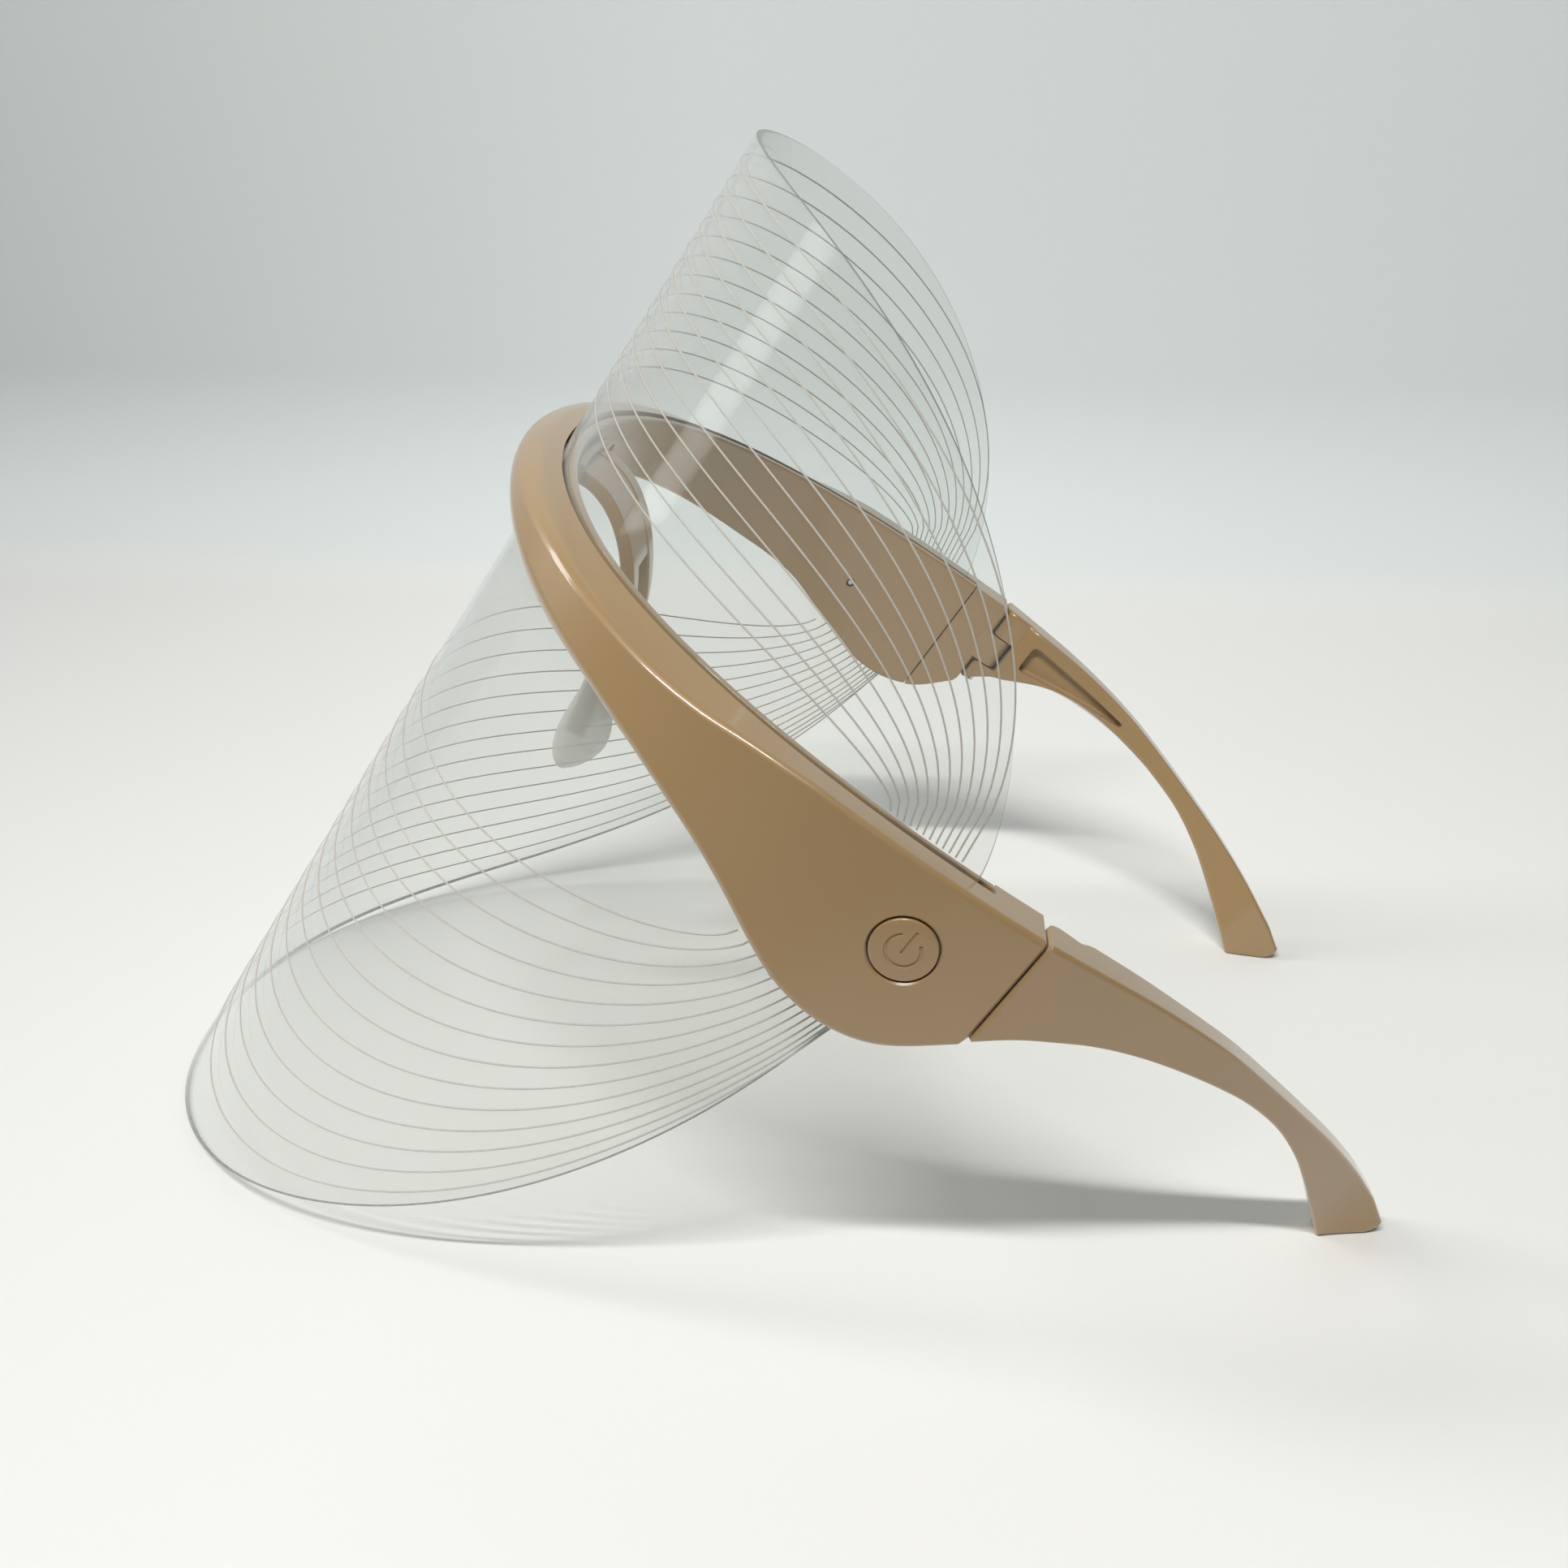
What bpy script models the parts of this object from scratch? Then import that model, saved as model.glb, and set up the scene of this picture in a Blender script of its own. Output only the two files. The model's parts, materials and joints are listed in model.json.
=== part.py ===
"""LED light therapy visor: a clear curved light-guide sheet carried by a moulded
brow frame, with folding temple arms, a power button and a nose rest.

Everything is drawn in the wearer's frame (x to the wearer's left, y from the
brow backwards, z up the head) and then leant back so that the lower edge of the
sheet and the soles of both arms rest on the ground plane z = 0. Metres.
"""

import math

import bmesh
import bpy
from mathutils import Matrix, Vector

# Running clearance between pieces that touch, and how far a cutter overruns
GAP = 0.0003
OVERRUN = 0.002

# Brow frame seen from above: one cubic curve for each side
HALF_WIDTH = 0.078
SEAM_BACK = 0.097
FRONT_HANDLE = 0.0436
SIDE_HANDLE = 0.0726
SIDE_BULGE = 0.0055

# Thickness of the whole brow frame, outside to inside
FRONT_THICKNESS = 0.0080
SIDE_THICKNESS = 0.0092
SEAM_THICKNESS = 0.0079
INNER_WALL = 0.0016
OUTER_WALL = 0.0014

# Depth of the frame below its flat top
HOUSING_DEPTH = 0.0286

# The outer face swells beyond the curve at the brow, and its upper edge is
# lower than the sheet's slot
BROW_SWELL = 0.0010
RIDGE_DROP = 0.0026

# Rounding of the outer edges: width by height, at the brow and at the seam
BROW_TOP_ROUND = (0.0030, 0.0030)
BROW_LOW_ROUND = (0.0044, 0.0052)
SEAM_TOP_ROUND = (0.0010, 0.0010)
SEAM_LOW_ROUND = (0.0012, 0.0012)
INNER_EDGE_ROUND = 0.0006
PLATE_EDGE_ROUND = 0.0005
SEAM_CHAMFER = 0.0005

# Solid block behind each temple housing, which carries the hinge
HINGE_BLOCK = 0.0085

# Clear sheet
SHEET_THICKNESS = 0.0008
SHEET_ABOVE = 0.0550
SHEET_BELOW = 0.1422
SHEET_END_INSET = 0.0030

# Hinge at the inner face of the seam
HINGE_RADIUS = 0.0026
HINGE_SETBACK = 0.00275
TONGUE_HEIGHT = 0.0064
PIN_RADIUS = 0.0006
PIN_HOLE_RADIUS = 0.0009
PIN_TOP = 0.0024
PIN_BOTTOM = 0.0012

# Temple arm
ARM_REACH = 0.0807
ARM_DROP = 0.0265
TIP_HALF_SPAN = 0.0465
ARM_BOW = 0.0071
ARM_WAIST_THICKNESS = 0.0056
ARM_TIP_THICKNESS = 0.0048
ARM_EDGE_ROUND = 0.0008
ARM_INNER_LIFT = 0.0020
ARM_SEAM_STEP = 0.0006
SOLE_LENGTH = 0.0072
TOE_LENGTH = 0.0008
TOE_LIFT = 0.0007
HEEL_LENGTH = 0.0012
HEEL_LIFT = 0.0010
HEEL_THICKNESS = 0.0019
POCKET_START = 0.0090
POCKET_LENGTH = 0.0244
POCKET_HEIGHT = 0.0067
POCKET_TIP_HEIGHT = 0.0009
POCKET_DEPTH = 0.0018
POCKET_DROP = 0.0029
POCKET_RISE = 0.0008

# Power button and the switch behind it
BUTTON_RADIUS = 0.0047
BUTTON_FLANGE = 0.0006
BUTTON_FLANGE_THICKNESS = 0.0004
BUTTON_AHEAD = 0.01495
BUTTON_DROP = 0.0118
BUTTON_EDGE_ROUND = 0.0003
SWITCH_SIDE = 0.0040
SWITCH_THICKNESS = 0.0012
PLUNGER_RADIUS = 0.0009
PLUNGER_LENGTH = 0.00075
SWITCH_BORE_RADIUS = 0.0012
SWITCH_BORE_DEPTH = 0.00095
SWITCH_SETBACK = 0.00275

# Control board and what stands on it
BOARD_THICKNESS = 0.0008
BOARD_LENGTH = 0.0198
BOARD_TOP = 0.0026
BOARD_CLEARANCE = 0.0005
CHIP_SIDE = 0.0050
CHIP_THICKNESS = 0.0009
CHIP_FORWARD = 0.0130
CHIP_DROP = 0.0050

# Charging socket in the underside of the left housing
SOCKET_WIDTH = 0.0089
SOCKET_THICKNESS = 0.0031
SOCKET_INSET = 0.0032
SOCKET_CLEARANCE = 0.00015
SOCKET_DEPTH = 0.0065
SOCKET_SHELL = 0.00025
SOCKET_FLOOR = 0.0010
SOCKET_FORWARD = 0.0078
SOCKET_RECESS = 0.0005
SOCKET_TONGUE_THICKNESS = 0.0007
SOCKET_TONGUE_SIDE = 0.0012
SOCKET_TONGUE_RECESS = 0.0008

# Battery in the right housing
BATTERY_LENGTH = 0.0180
BATTERY_HEIGHT = 0.0170
BATTERY_THICKNESS = 0.0030
BATTERY_AHEAD = 0.0217
BATTERY_TOP = 0.0022
BATTERY_INSET = 0.0020

# Light strips behind the ends of the sheet
LED_COUNT = 5
LED_HEIGHT = 0.0016
LED_WIDTH = 0.0010
LED_THICKNESS = 0.0006
LED_MARGIN = 0.0018
LED_BOARD_THICKNESS = 0.0008
LED_BOARD_TOP = 0.0024
LED_BOARD_INSET = 0.0031

# Wiring through the brow
WIRE_RADIUS = 0.0006
WIRE_INSET = 0.0032
WIRE_DROP = 0.0037

# Screws that hold the inner frame, and their bosses
SCREW_HEAD_RADIUS = 0.00075
SCREW_HEAD_HEIGHT = 0.0005
SCREW_RADIUS = 0.0004
SCREW_HOLE_RADIUS = 0.0006
SCREW_COUNTERBORE_RADIUS = 0.0010
SCREW_COUNTERBORE_DEPTH = 0.0009
SCREW_LENGTH = 0.0040
BOSS_RADIUS = 0.0014
BROW_SCREW_ARC = 0.0230
BROW_SCREW_DROP = 0.0060
TEMPLE_SCREW_AHEAD = 0.0328

# Nose rest
NOSE_PLATE_HALF_WIDTH = 0.0115
NOSE_PLATE_THICKNESS = 0.0016
NOSE_PLATE_TOP = 0.0020
NOSE_PLATE_BOTTOM = 0.0094
NOSE_LEG_WIDTH = 0.0050
NOSE_LEG_THICKNESS = 0.0024
NOSE_STEM_WIDTH = 0.0030
NOSE_STEM_THICKNESS = 0.0014
NOSE_LEG_SPACING = 0.0070
NOSE_LEG_SPLAY = 0.0038
NOSE_ROOT_DROP = 0.0046
NOSE_CREST_BACK = 0.0094
NOSE_CREST_DROP = 0.0016
NOSE_BEND_BACK = 0.0224
NOSE_BEND_DROP = 0.0165
NOSE_REACH = 0.0220
NOSE_LEG_DROP = 0.0343
NOSE_STEM_LENGTH = 0.0078
NOSE_STEM_BACK = 0.0013
NOSE_SCREW_SPACING = 0.0060
NOSE_SCREW_DROP = 0.0077
NOSE_SCREW_LENGTH = 0.0029

# Silicone nose pads
PAD_LENGTH = 0.0182
PAD_HALF_DEPTH = 0.0044
PAD_HALF_THICKNESS = 0.0022
PAD_BELOW_STEM = 0.0072
PAD_BOW = 0.0014

# Smoothness
SIDE_STATIONS = 34
ROUND_STEPS = 4
CIRCLE_STEPS = 32
SMALL_CIRCLE_STEPS = 16
ARC_SAMPLES = 400
LEAN_ROUNDS = 12

# Lower edges of the frame: share of the side's length, share of the housing depth
SEAM_DEPTH_SHARE = 0.68
OUTER_EDGE_SHARES = (
    (0.000, 0.301),
    (0.327, 0.322),
    (0.466, 0.350),
    (0.556, 0.413),
    (0.650, 0.542),
    (0.716, 0.671),
    (0.793, 0.874),
    (0.827, 0.941),
    (0.869, 0.976),
    (0.911, 0.955),
    (0.945, 0.885),
    (1.000, SEAM_DEPTH_SHARE),
)
INNER_EDGE_SHARES = (
    (0.000, 0.357),
    (0.200, 0.399),
    (0.348, 0.462),
    (0.459, 0.524),
    (0.560, 0.590),
    (0.640, 0.640),
    (0.688, 0.692),
    (0.755, 0.822),
    (0.817, 0.944),
    (0.869, 1.000),
    (0.914, 0.986),
    (0.956, 0.895),
    (1.000, SEAM_DEPTH_SHARE),
)

# Fall of the frame's outer upper edge: share of the side's length, share of the drop
RIDGE_DROP_SHARES = (
    (0.00, 0.40),
    (0.20, 0.45),
    (0.33, 0.56),
    (0.45, 0.88),
    (0.54, 1.00),
    (0.61, 0.80),
    (0.67, 0.34),
    (0.74, 0.00),
)

# Thickness along the side: share of length, share of the way from the front
# value to the side value (up to the peak) and on to the seam value
THICKNESS_PEAK_SHARE = 0.55

# Where along the side the outer edges turn from soft to crisp, and how much of
# the outer face both roundings can take between them
CRISP_START_SHARE = 0.15
CRISP_RUN_SHARE = 0.40
ROUNDED_SHARE = 0.96

# Drop of a temple screw as a share of the housing's depth
TEMPLE_SCREW_DROP_SHARE = 0.503

# Screw heads: their flat middle and the height at which they start to round
HEAD_FLAT_SHARE = 0.7
HEAD_SIDE_SHARE = 0.5

# Round ends of the charging slot, short of a full half circle
SLOT_ROUND_SHARE = 0.98

# Upper edge of an arm: share of its reach, share of its drop
ARM_TOP_SHARES = (
    (0.00, 0.000),
    (0.05, 0.004),
    (0.20, 0.022),
    (0.28, 0.042),
    (0.36, 0.072),
    (0.45, 0.120),
    (0.56, 0.205),
    (0.675, 0.305),
    (0.79, 0.415),
    (0.90, 0.545),
    (1.00, 0.690),
)
# Lower edge of an arm from behind the seam to the front of its sole
ARM_LOW_SHARES = (
    (0.069, 0.576),
    (0.133, 0.487),
    (0.200, 0.411),
    (0.276, 0.362),
    (0.360, 0.338),
    (0.457, 0.336),
    (0.545, 0.360),
    (0.644, 0.440),
    (0.737, 0.580),
    (0.815, 0.740),
    (0.880, 0.890),
)
# Where an arm has its waist, where its inner edge is lifted and lets go again,
# where its tip straightens, and how far the straight tip still leans inwards
ARM_WAIST_SHARE = 0.40
ARM_LIFT_SHARE = 0.25
ARM_LIFT_END_SHARE = 0.62
ARM_LIFT_FADE_SHARE = 0.35
ARM_TIP_SHARES = (0.90, 1.00)
ARM_TIP_LEAN_SHARE = 0.20

# Stations of an arm: behind the seam as shares of the hinge's setback, along
# the arm, and at its toe, sole and heel
ARM_SEAM_STATION_SHARES = (0.45, 0.75, 1.0, 1.5, 2.06, 2.4, 2.7)
TOE_STATION_SHARES = (1.0, 0.6, 0.25)
SOLE_STATION_SHARES = (0.0, 0.33, 0.66, 1.0)
HEEL_STATION_SHARES = (0.35, 0.7, 1.0)
ARM_STATION_SHARES = (
    0.12, 0.14, 0.18, 0.23, 0.29, 0.36, 0.43, 0.50, 0.56, 0.62,
    0.67, 0.72, 0.76, 0.80, 0.84, 0.87, 0.90,
)

# Stations of an arm's pocket, and how round it starts
POCKET_STATION_SHARES = (0.0, 0.03, 0.12, 0.3, 0.5, 0.7, 0.88, 1.0)
POCKET_START_SHARE = 0.8

# Nose rest: where a leg narrows to its stem, the stations of the plate, saddle
# and stem, and the saddle's thickness as a share of a leg's
STEM_START_SHARE = 0.60
STEM_RUN_SHARE = 0.28
PLATE_STATION_SHARES = (-1, -0.6, -0.2, 0.2, 0.6, 1)
WEB_STATION_SHARES = (0.02, 0.11, 0.20, 0.29, 0.38, 0.47, 0.56)
WEB_THICKNESS_SHARE = 0.8
STEM_STATION_SHARES = (0.15, 0.5, 1.0)

# How much fuller a pad is across than along its outline
PAD_FULLER_SHARE = 0.2

# Outline of a pad: share of its length from the top, share of its half depth
PAD_SHARES = (
    (0.00, 0.50),
    (0.05, 0.54),
    (0.16, 0.64),
    (0.32, 0.84),
    (0.48, 0.98),
    (0.64, 1.00),
    (0.78, 0.86),
    (0.88, 0.66),
    (0.95, 0.44),
    (1.00, 0.20),
)

# Edges of the sheet as superellipses of its half length: powers of the run
# along the sheet and of the height
SHEET_TOP_POWERS = (3.8, 1.4)
SHEET_LOW_POWERS = (2.0, 2.0)

PART_NAME = "led_light_therapy_visor"


def collection(name):
    """A collection of this name, linked to the scene."""
    made = bpy.data.collections.new(name)
    bpy.context.scene.collection.children.link(made)
    return made


def clear_scene():
    """Removes every object that the file opened with."""
    for old in list(bpy.data.objects):
        bpy.data.objects.remove(old)


clear_scene()
PARTS = collection(PART_NAME)
CUTTERS = collection(PART_NAME + "_cutters")


# Curve of the brow seen from above


def side_curve(t):
    """Point of the left side's outer face, t from the brow (0) to the seam (1)."""
    handles = (
        Vector((0, 0)),
        Vector((FRONT_HANDLE, 0)),
        Vector((HALF_WIDTH + SIDE_BULGE, SEAM_BACK - SIDE_HANDLE)),
        Vector((HALF_WIDTH, SEAM_BACK)),
    )
    u = 1 - t
    weights = (u**3, 3 * u * u * t, 3 * u * t * t, t**3)
    return sum((h * w for h, w in zip(handles, weights)), Vector((0, 0)))


def arc_table():
    """Running length of the side at evenly spaced values of the curve's t."""
    lengths = [0.0]
    last = side_curve(0)
    for i in range(1, ARC_SAMPLES + 1):
        point = side_curve(i / ARC_SAMPLES)
        lengths.append(lengths[-1] + (point - last).length)
        last = point
    return lengths


ARC_LENGTHS = arc_table()
SIDE_LENGTH = ARC_LENGTHS[-1]
BLOCK_ARC = SIDE_LENGTH - HINGE_BLOCK
BUTTON_ARC = SIDE_LENGTH - BUTTON_AHEAD
BATTERY_ARC = SIDE_LENGTH - BATTERY_AHEAD


def curve_value(arc):
    """The curve's t at this length from the brow."""
    arc = min(max(arc, 0.0), SIDE_LENGTH)
    low, high = 0, ARC_SAMPLES
    while high - low > 1:
        middle = (low + high) // 2
        if ARC_LENGTHS[middle] <= arc:
            low = middle
        else:
            high = middle
    step = ARC_LENGTHS[high] - ARC_LENGTHS[low]
    return (low + (arc - ARC_LENGTHS[low]) / step) / ARC_SAMPLES


def smooth(share):
    """Eases a share from 0 to 1."""
    share = min(max(share, 0.0), 1.0)
    return share * share * (3 - 2 * share)


def station(arc):
    """Outer point and inward direction at a signed length from the brow."""
    side = -1 if arc < 0 else 1
    reach = abs(arc)
    t = curve_value(reach)
    point = side_curve(t)
    small = 1 / ARC_SAMPLES
    ahead = side_curve(min(t + small, 1)) - side_curve(max(t - small, 0))
    inward = Vector((-ahead.y, ahead.x)).normalized()
    square = smooth((reach - BLOCK_ARC + HINGE_BLOCK) / HINGE_BLOCK)
    inward = (inward * (1 - square) + Vector((-1, 0)) * square).normalized()
    return Vector((point.x * side, point.y)), Vector((inward.x * side, inward.y))


def wall_point(arc, inset, height):
    """Point a given distance inside the outer face."""
    point, inward = station(arc)
    at = point + inward * inset
    return Vector((at.x, at.y, height))


def wall_matrix(arc, inset, height):
    """Axes on the wall: x inwards, y backwards along it, z up."""
    side = -1 if arc < 0 else 1
    _, inward = station(arc)
    along = Vector((inward.y * side, -inward.x * side, 0))
    axes = Matrix((Vector((inward.x, inward.y, 0)), along, Vector((0, 0, 1))))
    return Matrix.Translation(wall_point(arc, inset, height)) @ axes.transposed().to_4x4()


def interpolate(table, at):
    """Smooth curve through a table of (position, value) pairs."""
    if at <= table[0][0]:
        return table[0][1]
    if at >= table[-1][0]:
        return table[-1][1]
    i = max(k for k in range(len(table) - 1) if table[k][0] <= at)
    before, start = table[max(i - 1, 0)], table[i]
    end, after = table[i + 1], table[min(i + 2, len(table) - 1)]
    width = end[0] - start[0]
    slope_start = (end[1] - before[1]) / (end[0] - before[0]) * width
    slope_end = (after[1] - start[1]) / (after[0] - start[0]) * width
    t = (at - start[0]) / width
    return (
        start[1] * (2 * t**3 - 3 * t**2 + 1)
        + slope_start * (t**3 - 2 * t**2 + t)
        + end[1] * (3 * t**2 - 2 * t**3)
        + slope_end * (t**3 - t**2)
    )


# Sizes that follow the length along the side


def mix(first, second, share):
    """Value part of the way from one to another."""
    return first + (second - first) * share


def thickness(arc):
    """Thickness of the brow frame."""
    share = abs(arc) / SIDE_LENGTH
    if share < THICKNESS_PEAK_SHARE:
        return mix(FRONT_THICKNESS, SIDE_THICKNESS, smooth(share / THICKNESS_PEAK_SHARE))
    rest = (share - THICKNESS_PEAK_SHARE) / (1 - THICKNESS_PEAK_SHARE)
    return mix(SIDE_THICKNESS, SEAM_THICKNESS, smooth(rest))


def slot_width():
    """Room that the sheet has between the two halves of the frame."""
    return SHEET_THICKNESS + 2 * GAP


def groove(arc):
    """Depth of the sheet's slot below the outer face."""
    return thickness(arc) - INNER_WALL - slot_width()


def seam_depth():
    """Depth of the frame at the seam."""
    return HOUSING_DEPTH * SEAM_DEPTH_SHARE


def outer_depth(arc):
    """Depth of the lower edge of the outer face."""
    return HOUSING_DEPTH * interpolate(OUTER_EDGE_SHARES, abs(arc) / SIDE_LENGTH)


def depth(arc, inset=None):
    """Depth of the underside, which slopes down from the outer to the inner face."""
    inner = HOUSING_DEPTH * interpolate(INNER_EDGE_SHARES, abs(arc) / SIDE_LENGTH)
    share = 1.0 if inset is None else inset / thickness(arc)
    return mix(outer_depth(arc), inner, min(max(share, 0.0), 1.0))


def outer_slope(arc, outline):
    """Gives an outline the swell, the sloping top and the sloping underside."""
    outside = max(1 - abs(arc) / SIDE_LENGTH * 2, 0.0)
    swell = BROW_SWELL * smooth(outside)
    drop = RIDGE_DROP * interpolate(RIDGE_DROP_SHARES, abs(arc) / SIDE_LENGTH)
    shaped = []
    for inset, height in outline:
        share = min(max(1 - inset / groove(arc), 0.0), 1.0)
        fall = depth(arc, inset) - outer_depth(arc)
        down = mix(drop * share, fall, -height / outer_depth(arc))
        shaped.append((inset - swell * share, height - down))
    return shaped


def edge_round(arc, brow, seam):
    """Rounding of an outer edge, soft at the brow and crisp at the seam."""
    share = smooth((abs(arc) / SIDE_LENGTH - CRISP_START_SHARE) / CRISP_RUN_SHARE)
    return [mix(brow[0], seam[0], share), mix(brow[1], seam[1], share)]


def edge_rounds(arc):
    """Upper and lower rounding of the outer face, as far as its height and width allow."""
    top = edge_round(arc, BROW_TOP_ROUND, SEAM_TOP_ROUND)
    low = edge_round(arc, BROW_LOW_ROUND, SEAM_LOW_ROUND)
    squeeze = min(ROUNDED_SHARE * outer_depth(arc) / (top[1] + low[1]), 1)
    widest = ROUNDED_SHARE * groove(arc)
    return [(min(width, widest), height * squeeze) for width, height in (top, low)]


def hollow_round(outer):
    """Rounding inside a wall, parallel to the rounding outside."""
    return [max(size - OUTER_WALL, OUTER_WALL / 4) for size in outer]


def rear_chamfer(arc):
    """Small bevel round the frame's end at the seam."""
    left = SIDE_LENGTH - abs(arc)
    return max(SEAM_CHAMFER - left, 0.0)


# Building blocks


def principled(name, colour, roughness, metallic=0.0, clear=0.0):
    """A plain material of this colour."""
    made = bpy.data.materials.new(name)
    made.use_nodes = True
    shader = made.node_tree.nodes["Principled BSDF"]
    shader.inputs["Base Color"].default_value = (*colour, 1)
    shader.inputs["Roughness"].default_value = roughness
    shader.inputs["Metallic"].default_value = metallic
    shader.inputs["Transmission Weight"].default_value = clear
    return made


def frame_plastic(name):
    """Tan moulded plastic with a soft gloss."""
    return principled(name, (0.42, 0.29, 0.17), 0.38)


def steel(name):
    """Small bright metal piece."""
    return principled(name, (0.62, 0.62, 0.63), 0.3, metallic=1.0)


def board_green(name):
    """Printed circuit board."""
    return principled(name, (0.03, 0.20, 0.09), 0.45)


def add_object(name, mesh, material=None, cutter=False):
    """An object of this mesh in the parts or among the cutters."""
    made = bpy.data.objects.new(name, mesh)
    if cutter:
        CUTTERS.objects.link(made)
        made.hide_render = True
        made.display_type = "WIRE"
    else:
        PARTS.objects.link(made)
    if material:
        mesh.materials.append(material)
    return made


def finished_mesh(name, bm):
    """The mesh of a closed bmesh, with its faces turned outwards."""
    bmesh.ops.recalc_face_normals(bm, faces=bm.faces)
    mesh = bpy.data.meshes.new(name)
    bm.to_mesh(mesh)
    bm.free()
    return mesh


def loft(name, rings, material=None, cutter=False):
    """Closed skin over rings of points, each ring with as many points."""
    bm = bmesh.new()
    made = [[bm.verts.new(point) for point in ring] for ring in rings]
    count = len(made[0])
    for first, second in zip(made, made[1:]):
        for i in range(count):
            j = (i + 1) % count
            bm.faces.new((first[i], first[j], second[j], second[i]))
    bm.faces.new(made[0])
    bm.faces.new(made[-1])
    return add_object(name, finished_mesh(name, bm), material, cutter)


def box(name, size, matrix, material=None, cutter=False):
    """A box of this size, centred on the matrix."""
    bm = bmesh.new()
    bmesh.ops.create_cube(bm, size=1)
    bmesh.ops.scale(bm, vec=size, verts=bm.verts)
    bmesh.ops.transform(bm, matrix=matrix, verts=bm.verts)
    return add_object(name, finished_mesh(name, bm), material, cutter)


def rod(name, radius, start, end, material=None, cutter=False, steps=CIRCLE_STEPS):
    """A round bar from one point to another."""
    bm = bmesh.new()
    axis = Vector(end) - Vector(start)
    turn = Vector((0, 0, 1)).rotation_difference(axis).to_matrix().to_4x4()
    place = Matrix.Translation((Vector(start) + Vector(end)) / 2) @ turn
    bmesh.ops.create_cone(
        bm,
        cap_ends=True,
        segments=steps,
        radius1=radius,
        radius2=radius,
        depth=axis.length,
        matrix=place,
    )
    return add_object(name, finished_mesh(name, bm), material, cutter)


def turned(name, profile, matrix, material, steps=CIRCLE_STEPS):
    """A turned piece: (radius, height) points from the top down its side."""
    bm = bmesh.new()
    points = [Vector((radius, 0, height)) for radius, height in profile]
    made = [bm.verts.new(point) for point in points]
    for first, second in zip(made, made[1:]):
        bm.edges.new((first, second))
    mesh = bpy.data.meshes.new(name)
    bm.to_mesh(mesh)
    bm.free()
    piece = add_object(name, mesh, material)
    piece.matrix_local = matrix
    screw = piece.modifiers.new("turn", "SCREW")
    screw.steps = steps
    screw.render_steps = steps
    screw.use_merge_vertices = True
    screw.merge_threshold = 0.00001
    return piece


def boolean(piece, other, operation):
    """Adds a Boolean with another object."""
    step = piece.modifiers.new(other.name, "BOOLEAN")
    step.operation = operation
    step.solver = "EXACT"
    step.object = other
    return piece


def cut(piece, *others):
    """Takes other objects out of a piece."""
    for other in others:
        boolean(piece, other, "DIFFERENCE")


def join(piece, *others):
    """Adds other objects to a piece."""
    for other in others:
        boolean(piece, other, "UNION")


def rounded_corner(centre, radii, start, steps=ROUND_STEPS):
    """Quarter arc about a centre, from an angle in quarter turns."""
    angles = [(start + i / steps) * math.pi / 2 for i in range(steps + 1)]
    return [
        (centre[0] + radii[0] * math.cos(a), centre[1] + radii[1] * math.sin(a))
        for a in angles
    ]


def rounded_rectangle(low, high, radius, steps=2):
    """Outline of a rectangle with round corners, anticlockwise."""
    both = (radius, radius)
    return (
        rounded_corner((high[0] - radius, high[1] - radius), both, 0, steps)
        + rounded_corner((low[0] + radius, high[1] - radius), both, 1, steps)
        + rounded_corner((low[0] + radius, low[1] + radius), both, 2, steps)
        + rounded_corner((high[0] - radius, low[1] + radius), both, 3, steps)
    )


def wall_ring(arc, outline):
    """An outline of (inset, height) pairs, stood on the wall."""
    return [wall_point(arc, inset, height) for inset, height in outline]


def both_ways(values):
    """Lengths for both sides, from the right end to the left end."""
    return [-v for v in reversed(values)] + [v for v in values if v > 0]


def even_arcs(end, count=SIDE_STATIONS):
    """Lengths from the brow to an end, evenly spaced."""
    return [end * i / count for i in range(count + 1)]


# Outer frame


def outer_outline(arc, width, chamfer=0.0):
    """Cross-section of the outer frame, from its inner top corner outwards."""
    top, low = edge_rounds(arc)
    bottom = -outer_depth(arc) + chamfer
    upper = rounded_corner((top[0] + chamfer, -top[1] - chamfer), top, 1)
    lower = rounded_corner((low[0] + chamfer, bottom + low[1]), low, 2)
    outline = [(width - chamfer, -chamfer)] + upper + lower + [(width - chamfer, bottom)]
    return outer_slope(arc, outline)


def outer_body():
    """Skin of the outer frame: a groove deep along the sheet, full at the ends."""
    small = GAP / 10
    front = even_arcs(BLOCK_ARC - small)
    block = even_arcs(HINGE_BLOCK - SEAM_CHAMFER, 3)
    rear = [BLOCK_ARC + v for v in block] + [SIDE_LENGTH]
    rings = []
    for arc in both_ways(front + rear):
        wide = abs(arc) >= BLOCK_ARC
        width = thickness(arc) if wide else groove(arc)
        outline = outer_outline(arc, width, rear_chamfer(arc))
        rings.append(wall_ring(arc, outline))
    return loft("outer_frame", rings, frame_plastic("outer_frame_plastic"))


def channel_cutter():
    """Hollow of the outer frame, open towards the sheet."""
    rings = []
    for arc in both_ways(even_arcs(BLOCK_ARC - 2 * GAP)):
        top, low = [hollow_round(outer) for outer in edge_rounds(arc)]
        roof, floor = -OUTER_WALL, OUTER_WALL - outer_depth(arc)
        upper = rounded_corner((OUTER_WALL + top[0], roof - top[1]), top, 1)
        lower = rounded_corner((OUTER_WALL + low[0], floor + low[1]), low, 2)
        mouth = thickness(arc) + OVERRUN
        outline = [(mouth, roof)] + upper + lower + [(mouth, floor)]
        rings.append(wall_ring(arc, outer_slope(arc, outline)))
    return loft("channel_cutter", rings, cutter=True)


def hinge_axis(side):
    """Point where a hinge's axis crosses the frame's top plane."""
    return Vector((side * (HALF_WIDTH - SEAM_THICKNESS + HINGE_RADIUS),
                   SEAM_BACK + HINGE_SETBACK, 0))


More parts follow.
